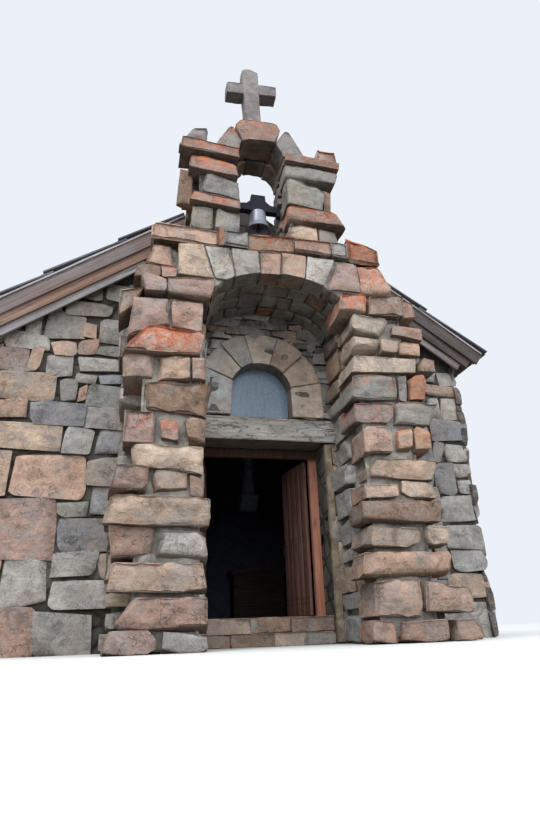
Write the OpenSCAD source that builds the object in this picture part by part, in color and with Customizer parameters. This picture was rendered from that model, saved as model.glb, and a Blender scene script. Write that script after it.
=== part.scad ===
// Small mountain chapel: rubble walls, a deep stone porch with a bell gable and a cross,
// and a steep boarded roof. The origin is on the ground, in the middle of the footprint.
// The front faces -Y. Left and right are as seen from the front.

/* [Walls] */
// Width over the side walls
body_w = 5760; // [5400:10:6000]
// Length over the front and rear walls
body_len = 5600; // [5000:10:6400]
// Thickness of the rubble walls
wall_t = 600; // [520:10:640]
// Height of the floor above the lowest ground
floor_h = 300; // [200:10:400]

/* [Roof] */
// Height of the roofing at the ridge, above the lowest ground
ridge_h = 6045; // [5950:5:6150]
// Slope of the roof in degrees
roof_pitch = 35.6; // [34:0.1:37]
// How far the eaves stand out from the side walls
eave_out = 470; // [400:5:520]
// How far the roof stands out from the front and rear walls
verge_out = 300; // [260:5:350]
// Thickness of one course of roofing boards
cover_t = 50; // [35:1:60]
// Length of each course that shows, along the slope
course_len = 1010; // [800:10:1200]
// Thickness of the roof deck
deck_t = 30; // [22:1:40]
// How far the roofing runs past the edge of the deck at the eaves
drip = 50; // [30:1:80]
// Half width of the notch that is cut from the front overhang behind the bell gable
notch_half = 850; // [750:10:950]
// Depth of the notch, behind the outer face of the front wall
notch_in = 200; // [120:5:280]
// How far the roofing stands out over the verge boards
verge_lap = 25; // [15:1:35]
// Thickness of a verge board
verge_t = 35; // [25:1:45]
// Depth of the upper verge board, down from the top of the deck
verge_upper = 190; // [150:5:220]
// Depth at which the middle verge board ends
verge_middle = 310; // [270:5:340]
// Depth at which the lower verge board ends
verge_lower = 400; // [370:5:430]
// Width of the ridge beam
ridge_beam_w = 160; // [120:5:200]
// Height of the ridge beam
ridge_beam_h = 220; // [160:5:260]
// Width of a purlin
purlin_w = 140; // [100:5:170]
// Depth of a purlin, square to the slope
purlin_h = 160; // [120:5:190]
// Width of a wall plate
plate_w = 200; // [160:5:240]
// Height of a wall plate at its outer edge
plate_h = 110; // [90:5:140]
// Width of a ridge cap board, along the slope
cap_w = 210; // [160:5:260]
// Thickness of a ridge cap board
cap_t = 28; // [20:1:35]

/* [Door and window] */
// Distance of the door's middle from the middle of the building
door_x = 170; // [120:5:220]
// Width of the doorway between the masonry jambs
door_w = 1560; // [1400:10:1650]
// Height of the doorway from the sill to the lintel
door_h = 2000; // [1900:10:2100]
// Height of the timber lintel
lintel_h = 320; // [260:5:360]
// Bearing of the lintel at each end
lintel_bearing = 180; // [120:5:250]
// Depth of the doorway in front of the door frame
door_reveal = 330; // [280:5:380]
// Width of a door frame post
frame_w = 80; // [65:1:95]
// Depth of the door frame
frame_d = 110; // [95:1:130]
// Width of the stop that the leaves close against
stop_w = 20; // [14:1:26]
// Thickness of a door leaf
leaf_t = 40; // [34:1:46]
// Number of planks in a leaf
plank_count = 5; // [4:1:6]
// Depth of the grooves between the planks
plank_groove = 5; // [3:1:8]
// Height of the lock above the floor
lock_up = 1420; // [1350:10:1480]
// Height of the handle above the floor
handle_up = 770; // [720:10:820]
// Angle at which both leaves stand open, from closed
open_angle = 80; // [70:1:88]
// Inner radius of the window arch
window_r = 385; // [340:5:420]
// Height of the window's upright part, from the lintel to the arch's centre
window_stilt = 320; // [260:5:360]
// Width of the dressed stones round the window
ring_w = 415; // [360:5:430]
// Depth of the dressed stones round the window
ring_d = 250; // [200:5:300]
// Depth of the pane behind the face of the wall
pane_in = 130; // [90:5:170]
// Thickness of the pane
pane_t = 12; // [8:1:20]

/* [Porch] */
// Distance of the porch's middle from the middle of the building
porch_x = 210; // [180:5:240]
// Depth of the porch in front of the wall
porch_d = 1020; // [950:10:1100]
// Clear width between the porch piers
porch_open = 1650; // [1600:10:1700]
// Width of a porch pier
pier_w = 930; // [880:10:980]
// Height of the springing of the porch arch
spring_h = 3630; // [3580:5:3680]
// Half width of the porch arch at its springing
arch_half = 780; // [740:5:790]
// Rise of the porch arch
arch_rise = 390; // [350:5:410]
// Height of the masonry from the springing to the underside of the coping
arch_cover = 700; // [660:5:730]
// How far the shoulders over the piers stay back from the piers' outer sides
shoulder_back = 205; // [150:5:260]
// Thickness of the coping
coping_t = 230; // [200:5:250]
// Width of the coping
coping_w = 2350; // [2300:10:2400]
// Number of arch stones over the porch
porch_stones = 9; // [7:2:11]

/* [Bell gable] */
// Distance of the bell gable's middle from the middle of the building
bell_x = 50; // [20:5:80]
// Thickness of the bell gable
gable_t = 660; // [600:5:700]
// Width of the bell opening
bell_open = 580; // [560:5:620]
// Width of a bell pier
bell_pier_w = 680; // [640:5:720]
// Height of a bell pier above the coping
bell_pier_h = 1190; // [1150:5:1230]
// Rise of the head of the bell arch above its springing
bell_head_h = 610; // [580:5:640]
// Width of the stones at the foot of the bell arch
bell_ring = 300; // [260:5:330]
// Half width of the keystone of the bell arch at its top
key_half = 250; // [220:5:270]
// Thickness of the cap stones on the bell piers
cap_stone_h = 130; // [100:5:160]
// How far the cap stones stand out from the bell piers
cap_stone_out = 40; // [0:5:60]
// Height of the pointed stone on the left bell pier
pointed_h = 360; // [300:5:400]
// Height of the round stone on the right bell pier
knob_h = 290; // [240:5:320]
// Radius of the bell's mouth
bell_r = 180; // [160:1:185]
// Height of the bell
bell_h = 310; // [290:5:330]
// Height of the bell's pivot above the coping
pivot_h = 640; // [600:5:670]
// Height of the cross
cross_h = 1240; // [1150:10:1320]
// Span of the arms of the cross
cross_w = 730; // [660:5:780]
// Thickness of the cross
cross_t = 200; // [170:5:220]
// Width of the shaft and the arms of the cross
cross_bar = 225; // [180:5:240]
// How far the cross leans to the left, in degrees
cross_lean = 2.5; // [0:0.5:3]

/* [Inside] */
// Width of the altar
altar_w = 960; // [860:10:1060]
// Depth of the altar
altar_d = 500; // [420:10:580]
// Height of the altar
altar_h = 950; // [880:10:1000]
// Thickness of the altar's top
altar_top = 80; // [60:5:100]
// How far the altar's top stands out
altar_lip = 60; // [30:5:80]
// Distance of the altar's middle from the right side wall
altar_off = 1210; // [1100:10:1300]
// Distance of the figure's middle from the right side wall
figure_off = 1310; // [1200:10:1400]
// Height of the figure's bracket above the floor
bracket_top = 2430; // [2300:10:2500]
// Width of the figure's bracket
bracket_w = 340; // [300:5:400]
// Height of the figure's bracket
bracket_h = 270; // [220:5:320]
// Height of the figure
figure_h = 1150; // [1000:10:1250]

/* [Hidden] */
$fn = 48;

// Clearances
seat_gap = 0.3;
leaf_side_gap = 6;
leaf_meet_gap = 14;
leaf_end_gap = 12;
eye_gap = 0.1;
scribe_gap = 5;

// Places along the building
base_out = 60;
front_step = 20;
overall_y = base_out + porch_d + body_len + verge_out;
front_y = -overall_y / 2 + base_out + porch_d;
rear_y = front_y + body_len;
porch_y = front_y - porch_d;
inner_half = body_w / 2 - wall_t;

// Heights of the doorway, window and porch
door_top = floor_h + door_h;
lintel_top = door_top + lintel_h;
window_z = lintel_top + window_stilt;
coping_h = spring_h + arch_cover;

// Roof lines
cosp = cos(roof_pitch);
sinp = sin(roof_pitch);
tanp = tan(roof_pitch);
deck_apex = ridge_h - 2 * cover_t / cosp;
deck_low = -seat_gap - deck_t;
under_apex = deck_apex + (deck_low - seat_gap) / cosp;
eave_half = body_w / 2 + eave_out;
cover_len = (eave_half - 2 * cover_t * sinp) / cosp;
deck_len = cover_len - drip;
course_lap = 120;
course_lift = 2 * cover_t - cover_t * course_len / (course_len + course_lap);
course_count = round(cover_len / course_len);
first_course = cover_len - course_len * (course_count - 1);
purlin_s = cover_len * 0.46;
plate_x = inner_half + 120 + plate_w / 2;
plate_bottom = under_z(plate_x + plate_w / 2) - plate_h;
beam_top = under_apex - ridge_beam_w / 2 * tanp;

// Height of the timbers and walls that carry the deck, at a distance from the ridge
function under_z(x) = under_apex - abs(x) * tanp;

// A point of the roof's section: s down the slope from the ridge, n out from the top of the deck
function slope_pt(s, n) = [s * cosp + n * sinp, deck_apex - s * sinp + n * cosp];

// A repeatable number from -1 to 1
function wobble(k) = rands(-1, 1, 1, k)[0];

function sum_to(v, n) = n <= 0 ? 0 : v[n - 1] + sum_to(v, n - 1);

// A rectangle with its corners knocked off
function knocked(a0, a1, b0, b1, c) = [[a0 + c, b0], [a1 - c, b0], [a1, b0 + c], [a1, b1 - c],
    [a1 - c, b1], [a0 + c, b1], [a0, b1 - c], [a0, b0 + c]];

// Stands an outline drawn in X and Z between two places along Y
module prism_y(y0, y1) {
    translate([0, y1, 0]) rotate([90, 0, 0]) linear_extrude(y1 - y0) children();
}

// Stands an outline drawn in Y and Z between two places along X
module prism_x(x0, x1) {
    translate([x0, 0, 0]) rotate([90, 0, 90]) linear_extrude(x1 - x0) children();
}

module prism_z(z0, z1) {
    translate([0, 0, z0]) linear_extrude(z1 - z0) children();
}

module box(x0, x1, y0, y1, z0, z1) {
    translate([x0, y0, z0]) cube([x1 - x0, y1 - y0, z1 - z0]);
}

module both_sides() {
    children();
    mirror([1, 0, 0]) children();
}

// One rough slab of a pier
module slab(x0, x1, y0, y1, z0, z1, cut) {
    intersection() {
        prism_z(z0, z1) polygon(knocked(x0, x1, y0, y1, cut));
        prism_y(y0, y1) polygon(knocked(x0, x1, z0, z1, cut / 2));
    }
}

// Walls

module floor_slab() {
    color("dimgray")
        box(-inner_half, inner_half, front_y + wall_t, rear_y - wall_t, 0, floor_h);
}

module door_sill() {
    color("gray")
        box(door_x - door_w / 2, door_x + door_w / 2, front_y, front_y + wall_t, 0, floor_h);
}

// The front wall beside the doorway, with a seat for the end of the lintel
module front_wall_side(side) {
    jamb = door_x + side * door_w / 2;
    bearing = jamb + side * lintel_bearing;
    edge = side * body_w / 2;
    prism_y(front_y, front_y + wall_t)
        polygon([[jamb, 0], [edge, 0], [edge, lintel_top], [bearing, lintel_top],
            [bearing, door_top], [jamb, door_top]]);
}

module front_wall_left() {
    color("slategray") front_wall_side(-1);
}

module front_wall_right() {
    color("slategray") front_wall_side(1);
}

module gable_outline(z0) {
    polygon([[-body_w / 2, z0], [body_w / 2, z0], [body_w / 2, under_z(body_w / 2)],
        [0, under_apex], [-body_w / 2, under_z(body_w / 2)]]);
}

module window_outline(r) {
    intersection() {
        translate([door_x, window_z]) circle(r = r);
        translate([door_x - r, lintel_top]) square([2 * r, window_stilt + r]);
    }
    translate([door_x - r, lintel_top]) square([2 * r, window_stilt]);
}

module front_gable() {
    color("slategray") difference() {
        prism_y(front_y, front_y + wall_t) gable_outline(lintel_top);
        prism_y(front_y - 1, front_y + ring_d) window_outline(window_r + ring_w);
        prism_y(front_y, front_y + wall_t + 1) window_outline(window_r);
        timber_pockets();
    }
}

module rear_wall() {
    color("slategray") difference() {
        prism_y(rear_y - wall_t, rear_y) gable_outline(0);
        timber_pockets();
    }
}

module side_wall() {
    out = body_w / 2;
    ledge = plate_x + plate_w / 2;
    prism_y(front_y + wall_t, rear_y - wall_t)
        polygon([[inner_half, 0], [out, 0], [out, under_z(out)], [ledge, under_z(ledge)],
            [ledge, plate_bottom], [inner_half, plate_bottom]]);
}

module side_wall_left() {
    color("slategray") mirror([1, 0, 0]) side_wall();
}

module side_wall_right() {
    color("slategray") side_wall();
}

module door_lintel() {
    half = door_w / 2 + lintel_bearing;
    color("tan") box(door_x - half, door_x + half, front_y, front_y + wall_t, door_top, lintel_top);
}

// Window

// The dressed stones are proud of the mortar ring that joins them
module window_ring() {
    joint = 10;
    stones = 5;
    color("darkkhaki") difference() {
        union() {
            prism_y(front_y + 15, front_y + ring_d) window_outline(window_r + ring_w);
            for (i = [0:stones - 1])
                prism_y(front_y, front_y + ring_d) intersection() {
                    window_outline(window_r + ring_w);
                    ring_sector(180 / stones * i, 180 / stones * (i + 1), joint);
                }
            for (side = [-1, 1])
                prism_y(front_y, front_y + ring_d)
                    translate([door_x + side * (window_r + ring_w / 2), lintel_top + window_stilt / 2])
                        square([ring_w, window_stilt - joint], center = true);
        }
        prism_y(front_y - 1, front_y + ring_d + 1) window_outline(window_r);
    }
}

// A wedge between two angles about the arch's centre, held back from the joints at its sides
module ring_sector(a0, a1, joint) {
    mid = (a0 + a1) / 2;
    reach = 2 * (window_r + ring_w);
    start = joint / 2 / sin((a1 - a0) / 2);
    translate([door_x + start * cos(mid), window_z + start * sin(mid)])
        polygon([[0, 0], reach * [cos(a0), sin(a0)], reach * [cos(mid), sin(mid)],
            reach * [cos(a1), sin(a1)]]);
}

module window_pane() {
    color("lightsteelblue") prism_y(front_y + pane_in, front_y + pane_in + pane_t)
        window_outline(window_r - seat_gap);
}

// Porch

// Heights of the courses of each porch pier from the ground up, which share the pier's height
left_courses = [160, 350, 270, 310, 300, 310, 190, 340, 360, 250, 400, 390];
right_courses = [230, 330, 320, 260, 240, 190, 320, 330, 280, 360, 380, 390];
// How far each course stands out from the outer and the inner side of its pier
left_outs = [20, -60, 0, -20, 55, 55, -150, -60, -240, 0, 35, 45];
left_ins = [0, 20, 0, 30, 20, 0, 10, 40, 0, 20, 30, 50];
right_outs = [160, 115, -60, -50, -40, -20, 125, -100, 220, -30, 75, 15];
right_ins = [0, 30, 10, 0, 20, 40, 0, 20, 0, 10, 20, 60];
core_back = 270;
joint_h = 24;

module stone_stack(x0, x1, y0, y1, z0, z1, courses, outs, ins, cut) {
    unit = (z1 - z0) / sum_to(courses, len(courses));
    for (i = [0:len(courses) - 1]) {
        low = z0 + unit * sum_to(courses, i);
        high = z0 + unit * sum_to(courses, i + 1);
        front = y0 - (i == 0 ? base_out : front_step * (1 + wobble(i + 7)));
        slab(x0 - ins[i], x1 + outs[i], front, y1, low, high - joint_h, cut);
    }
}

// A core of mortar joins the slabs of a pier
module porch_pier(courses, outs, ins) {
    inner = porch_open / 2;
    outer = inner + pier_w;
    core_in = 50;
    box(inner + core_in, outer - core_back, porch_y + core_in, front_y, 0, spring_h);
    stone_stack(inner, outer, porch_y, front_y, 0, spring_h, courses, outs, ins, core_in);
}

module porch_pier_left() {
    color("rosybrown") translate([porch_x, 0, 0]) mirror([1, 0, 0])
        porch_pier(left_courses, left_outs, left_ins);
}

module porch_pier_right() {
    color("rosybrown") translate([porch_x, 0, 0])
        porch_pier(right_courses, right_outs, right_ins);
}

// Depth of the point from which the joints of the porch arch fan out, below the springing
fan_drop = 1000;
arch_top = arch_cover;
arch_end = atan(arch_half / fan_drop);

// Where a joint at an angle from upright meets the arch's soffit, from the springing's middle
function soffit_pt(q) = let (
    a = pow(sin(q) / arch_half, 2) + pow(cos(q) / arch_rise, 2),
    b = -2 * cos(q) * fan_drop / pow(arch_rise, 2),
    c = pow(fan_drop / arch_rise, 2) - 1,
    r = (-b + sqrt(max(0, b * b - 4 * a * c))) / (2 * a)
) [r * sin(q), r * cos(q) - fan_drop];

function crown_pt(q) = [(arch_top + fan_drop) * tan(q), arch_top];

// The stretch of the arch between two joints, with its soffit as short chords
module arch_stretch(q0, q1, chords) {
    translate([porch_x, spring_h])
        polygon(concat([for (i = [0:chords]) soffit_pt(q0 + (q1 - q0) * i / chords)],
            [crown_pt(q1), crown_pt(q0)]));
}

module porch_arch() {
    step = 2 * arch_end / porch_stones;
    joint = 0.35;
    uneven = 8;
    stone_d = 0.3 * porch_d;
    color("burlywood") union() {
        prism_y(porch_y + 40, front_y) arch_stretch(-arch_end, arch_end, 3 * porch_stones);
        for (i = [0:porch_stones - 1]) {
            q = -arch_end + step * i;
            prism_y(porch_y + uneven * wobble(i + 40), porch_y + stone_d)
                arch_stretch(q + joint, q + step - joint, 3);
        }
    }
}

// The masonry beside the arch, over the pier, with an impost stone that stands out at its foot
shoulder_half = porch_open / 2 + pier_w - shoulder_back;
shoulder_top = crown_pt(arch_end)[0] + 40;
impost_out = 20;
impost_top = spring_h + arch_top * 0.3;
shoulder_in = 80;

module shoulder_outline(gap) {
    wide = shoulder_half + gap;
    polygon([[arch_half, spring_h], [wide, spring_h], [wide + impost_out, impost_top + gap],
        [wide - shoulder_in, impost_top + arch_top * 0.08 + gap],
        [wide - shoulder_in, coping_h - arch_top * 0.26], [shoulder_top + gap, coping_h + gap],
        crown_pt(arch_end) + [0, spring_h + gap]]);
}

// The shoulder and the slab at its foot, which runs out over the pier's top course
module porch_shoulder() {
    slab_out = 215;
    slab_in = 50;
    slab_deep = 480;
    slab_cut = 30;
    prism_y(porch_y, front_y) shoulder_outline(0);
    slab(shoulder_half - slab_in, shoulder_half + slab_out, porch_y + slab_cut, porch_y + slab_deep,
        spring_h, impost_top - slab_cut, slab_cut);
}

module porch_shoulder_right() {
    color("rosybrown") translate([porch_x, 0, 0]) porch_shoulder();
}

module porch_shoulder_left() {
    color("rosybrown") translate([porch_x, 0, 0]) mirror([1, 0, 0]) porch_shoulder();
}

coping_x = bell_x - 140;
coping_lip = 40;

// The outline of the porch's masonry above the springing, wider by a gap
module porch_profile(gap) {
    translate([porch_x, 0]) both_sides_2d() shoulder_outline(gap);
    translate([porch_x - shoulder_top, spring_h]) square([2 * shoulder_top, arch_top + gap]);
    translate([coping_x - coping_w / 2 - gap, coping_h])
        square([coping_w + 2 * gap, coping_t + gap]);
}

module coping() {
    color("rosybrown") slab(coping_x - coping_w / 2, coping_x + coping_w / 2,
        porch_y - coping_lip, front_y, coping_h, coping_h + coping_t, 30);
}

// The loose red block at the end of the coping
module end_block() {
    start = coping_x + coping_w / 2 + 20;
    wide = 400;
    deep = 400;
    high = 300;
    color("indianred") slab(start, start + wide, porch_y + 20, porch_y + 20 + deep, coping_h,
        coping_h + high, 60);
}

// Bell gable
bell_z = coping_h + coping_t;
bell_spring = bell_z + bell_pier_h;
gable_back = porch_y + gable_t;
// Heights of the courses of each bell pier, which share its height, and how far they stand out
left_bell_courses = [220, 220, 130, 300, 280, 40];
left_bell_outs = [-120, -60, 30, -60, 0, 40];
right_bell_courses = [230, 90, 240, 250, 250, 130];
right_bell_outs = [-30, 100, 60, -60, 40, 30];
bell_foot = bell_open / 2 + bell_ring;
bell_joint = 14;
// How deep the top stones are bedded in the cap stones
bedding = 10;

module bell_pier(courses, outs) {
    inner = bell_open / 2;
    outer = inner + bell_pier_w;
    unit = bell_pier_h / sum_to(courses, len(courses));
    core_in = 20;
    core_out = outer - 140;
    cap_low = bell_spring + cap_stone_h / 2;
    box(inner, core_out, porch_y + core_in, gable_back - core_in, bell_z, bell_spring);
    box(bell_foot + 2 * bell_joint, core_out, porch_y + core_in, gable_back - core_in, bell_z, cap_low);
    for (i = [0:len(courses) - 1]) {
        low = bell_z + unit * sum_to(courses, i);
        high = bell_z + unit * sum_to(courses, i + 1);
        top = i == len(courses) - 1 ? high : high - bell_joint;
        slab(inner, outer + outs[i], porch_y, gable_back, low, top, 25);
    }
    slab(bell_foot + bell_joint, outer + cap_stone_out, porch_y, gable_back, bell_spring,
        bell_spring + cap_stone_h, 25);
}

// A pointed stone stands on the cap of the left pier
module bell_pier_left() {
    outer = bell_open / 2 + bell_pier_w;
    foot = bell_spring + cap_stone_h - bedding;
    wide = 240;
    point = outer - 1.25 * wide;
    deep = 250;
    color("rosybrown") translate([bell_x, 0, 0]) mirror([1, 0, 0]) union() {
        bell_pier(left_bell_courses, left_bell_outs);
        prism_y(porch_y + wide / 3, porch_y + wide / 3 + deep)
            polygon([[point, foot], [point + wide, foot], [point + wide, foot + pointed_h * 0.35],
                [point + wide * 0.3, foot + pointed_h], [point, foot + pointed_h * 0.95]]);
    }
}

// A round stone stands on the cap of the right pier
module bell_pier_right() {
    outer = bell_open / 2 + bell_pier_w;
    foot = bell_spring + cap_stone_h - bedding;
    knob_r = 140;
    knob_in = 100;
    color("rosybrown") translate([bell_x, 0, 0]) union() {
        bell_pier(right_bell_courses, right_bell_outs);
        translate([outer - knob_in, porch_y + 1.2 * knob_r, foot]) {
            cylinder(r = knob_r, h = knob_h * 0.6);
            translate([0, 0, knob_h * 0.6]) cylinder(r1 = knob_r, r2 = knob_r * 0.5, h = knob_h * 0.4);
        }
    }
}

// Two springers and a keystone that stands proud of them
module bell_arch() {
    key_top = key_half - 50;
    key_foot = 0.75 * key_top;
    proud = 20;
    chamfer = 40;
    foot_h = cap_stone_h;
    color("indianred") translate([bell_x, 0, bell_spring]) difference() {
        union() {
            prism_y(porch_y + proud, gable_back - proud)
                polygon([[-bell_foot, 0], [bell_foot, 0], [bell_foot - proud, foot_h],
                    [key_half, bell_head_h - chamfer], [-key_half, bell_head_h - chamfer],
                    [proud - bell_foot, foot_h]]);
            prism_y(porch_y, gable_back)
                polygon([[-key_foot, bell_open / 2 - chamfer], [key_foot, bell_open / 2 - chamfer],
                    [key_half, bell_head_h - chamfer], [key_top, bell_head_h],
                    [-key_top, bell_head_h], [-key_half, bell_head_h - chamfer]]);
        }
        prism_y(porch_y - 1, gable_back + 1) circle(r = bell_open / 2);
    }
}

// The cross stands on the keystone and leans to one side, so its foot is cut level
module cross() {
    cross_off = 25;
    foot_z = bell_spring + bell_head_h;
    arm_z = cross_h * 0.68;
    mid_y = porch_y + gable_t / 2;
    bar = cross_bar / 2;
    deep = cross_t / 2;
    color("gray") intersection() {
        translate([bell_x - cross_off, mid_y, foot_z]) rotate([0, -cross_lean, 0]) union() {
            slab(-bar, bar, -deep, deep, -bar, cross_h, 15);
            slab(-cross_w / 2, cross_w / 2, -deep, deep, arm_z - bar, arm_z + bar, 15);
        }
        box(-body_w, body_w, mid_y - cross_t, mid_y + cross_t, foot_z, foot_z + 2 * cross_h);
    }
}

// Bell and its yoke
pivot_z = bell_z + pivot_h;
bell_y = porch_y + gable_t / 2;
gudgeon_r = 14;
bearing_t = 45;
yoke_gap = 8;
yoke_half = bell_open / 2 - bearing_t - yoke_gap;
yoke_h = 90;
yoke_d = 90;

module bell_bearings() {
    color("dimgray") translate([bell_x, bell_y, pivot_z])
        for (side = [-1, 1]) mirror([side < 0 ? 1 : 0, 0, 0])
            prism_x(bell_open / 2 - bearing_t, bell_open / 2) difference() {
                union() {
                    circle(r = 40);
                    translate([-40, -90]) square([80, 90]);
                }
                circle(r = gudgeon_r + eye_gap);
            }
}

module bell_yoke() {
    hump_half = 95;
    color("midnightblue") translate([bell_x, bell_y, pivot_z]) union() {
        prism_y(-yoke_d / 2, yoke_d / 2)
            polygon([[-yoke_half, -yoke_h / 2], [yoke_half, -yoke_h / 2], [yoke_half, yoke_h / 2],
                [hump_half + 60, yoke_h / 2 + 10], [hump_half, yoke_h + 20], [hump_half - 5, yoke_h + 110],
                [5 - hump_half, yoke_h + 110], [-hump_half, yoke_h + 20],
                [-hump_half - 60, yoke_h / 2 + 10], [-yoke_half, yoke_h / 2]]);
        prism_x(-bell_open / 2 + 6, bell_open / 2 - 6) circle(r = gudgeon_r);
    }
}

bell_top = -yoke_h / 2;
bell_crown = 0.1 * bell_h;

module bell() {
    color("darkslategray") translate([bell_x, bell_y, pivot_z + bell_top]) rotate_extrude()
        polygon([[0, 0], [0.42 * bell_r, 0], [0.54 * bell_r, -0.07 * bell_h],
            [0.58 * bell_r, -0.35 * bell_h], [0.66 * bell_r, -0.65 * bell_h],
            [0.84 * bell_r, -0.9 * bell_h], [bell_r, -bell_h], [0.9 * bell_r, -bell_h],
            [0.72 * bell_r, -0.86 * bell_h], [0.56 * bell_r, -0.63 * bell_h],
            [0.49 * bell_r, -0.35 * bell_h], [0.44 * bell_r, -bell_crown], [0, -bell_crown]]);
}

module bell_clapper() {
    hang = bell_top - bell_crown;
    drop = 0.78 * bell_h;
    color("black") translate([bell_x, bell_y, pivot_z + hang]) rotate_extrude()
        polygon([[0, 0], [9, 0], [9, -drop + 40], [28, -drop + 20], [28, -drop - 15],
            [9, -drop - 40], [0, -drop - 40]]);
}

// Roof

// The roofing's section: each course rests on the one below it
module roofing_section() {
    top = [for (i = [0:course_count - 1], end = [0, 1]) let (
        low = first_course + course_len * i,
        up = i == 0 ? -course_lift * tanp : low - course_len
    ) end == 0 ? slope_pt(up, course_lift) : slope_pt(low, 2 * cover_t)];
    polygon(concat([[0, deck_apex]], top, [slope_pt(cover_len, 0)]));
}

module beyond_notch(half) {
    intersection() {
        children();
        translate([half, 0]) square([body_w, ridge_h]);
    }
}

// A roof section along the building, with its overhangs held back by a distance
module notched_roof(back) {
    prism_y(front_y + notch_in, rear_y + verge_out - back) children();
    prism_y(front_y - verge_out + back, front_y + notch_in) beyond_notch(notch_half) children();
}

module roofing_right() {
    color("dimgray") notched_roof(0) roofing_section();
}

module roofing_left() {
    color("dimgray") mirror([1, 0, 0]) notched_roof(0) roofing_section();
}

module deck_section() {
    polygon([[0, deck_apex - seat_gap / cosp], slope_pt(deck_len, -seat_gap),
        slope_pt(deck_len, deck_low), [0, deck_apex + deck_low / cosp]]);
}

module roof_deck_right() {
    color("peru") notched_roof(verge_lap + verge_t) deck_section();
}

module roof_deck_left() {
    color("peru") mirror([1, 0, 0]) notched_roof(verge_lap + verge_t) deck_section();
}

board_front = front_y - verge_out + verge_lap;
board_rear = rear_y + verge_out - verge_lap;
timber_front = board_front + 2 * verge_t;
timber_rear = board_rear - 2 * verge_t;

// The sections of the timbers follow the underside of the deck. Their pockets run past it by pass.
module ridge_section(pass) {
    half = ridge_beam_w / 2;
    low = beam_top - ridge_beam_h;
    polygon([[-half, low], [half, low], [half, beam_top + pass], [0, under_apex + pass],
        [-half, beam_top + pass]]);
}

module purlin_section(pass) {
    seat = deck_low - seat_gap;
    polygon([slope_pt(purlin_s, seat + pass), slope_pt(purlin_s + purlin_w, seat + pass),
        slope_pt(purlin_s + purlin_w, seat - purlin_h), slope_pt(purlin_s, seat - purlin_h)]);
}

module plate_section(pass) {
    x0 = plate_x - plate_w / 2;
    x1 = plate_x + plate_w / 2;
    polygon([[x0, plate_bottom], [x1, plate_bottom], [x1, under_z(x1) + pass],
        [x0, under_z(x0) + pass]]);
}

module ridge_beam() {
    color("saddlebrown") prism_y(front_y + notch_in, timber_rear) ridge_section(0);
}

module purlins() {
    color("saddlebrown") both_sides() prism_y(timber_front, timber_rear) purlin_section(0);
}

module wall_plates() {
    color("saddlebrown") both_sides() prism_y(timber_front, timber_rear) plate_section(0);
}

// The pockets of the gable walls, which are built round the timbers
module timber_pockets() {
    pass = 200;
    prism_y(front_y + notch_in, timber_rear) ridge_section(pass);
    both_sides() prism_y(timber_front, timber_rear) {
        purlin_section(pass);
        plate_section(pass);
    }
}

// How far each board is tucked up behind the one above it, and ends short of it at the eaves
verge_tuck = 20;
verge_step = 90;

// Three stepped boards along one slope, each behind the one above it
module verge_boards(start) {
    ends = [deck_len, deck_len - verge_step, deck_len - 2 * verge_step];
    tops = [-seat_gap, verge_tuck - verge_upper, verge_tuck - verge_middle];
    feet = [-verge_upper, -verge_middle, -verge_lower];
    for (i = [0:2])
        prism_y(i * verge_t, (i + 1) * verge_t)
            beyond_notch(start) polygon([slope_pt(0, tops[i]), slope_pt(ends[i], tops[i]),
                slope_pt(ends[i], feet[i]), slope_pt(0, feet[i])]);
}

// The front boards are scribed round the porch's masonry
module verge_boards_front() {
    color("rosybrown") difference() {
        both_sides() translate([0, board_front, 0]) verge_boards(notch_half);
        prism_y(board_front - 1, front_y) porch_profile(scribe_gap);
    }
}

module verge_boards_rear() {
    color("rosybrown") both_sides() translate([0, board_rear, 0]) mirror([0, 1, 0])
        verge_boards(1);
}

module ridge_cap() {
    wedge = (2 * cover_t - course_lift) / (first_course + course_lift * tanp);
    rise = (course_lift + wedge * (cap_w + course_lift * tanp)) / (1 + wedge * tanp) + seat_gap;
    low = deck_apex + rise / cosp;
    top = low + cap_t / cosp;
    reach = cap_w * cosp;
    edge = reach + cap_t * sinp;
    color("dimgray") prism_y(front_y + notch_in, rear_y + verge_out)
        polygon([[0, low], [reach, low - reach * tanp], [edge, top - edge * tanp], [0, top],
            [-edge, top - edge * tanp], [-reach, low - reach * tanp]]);
}

// Inside
inner_back = rear_y - wall_t;

// The altar has a sunk panel in its front
module altar() {
    half = altar_w / 2;
    body_top = altar_h - altar_top;
    rim = 110;
    sunk = 25;
    color("lightgray") translate([inner_half - altar_off, inner_back, floor_h]) difference() {
        union() {
            box(-half, half, -altar_d, 0, 0, body_top);
            box(-half - altar_lip, half + altar_lip, -altar_d - altar_lip, 0, body_top, altar_h);
        }
        box(rim - half, half - rim, -altar_d - 1, sunk - altar_d, rim, body_top - rim);
    }
}

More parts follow.
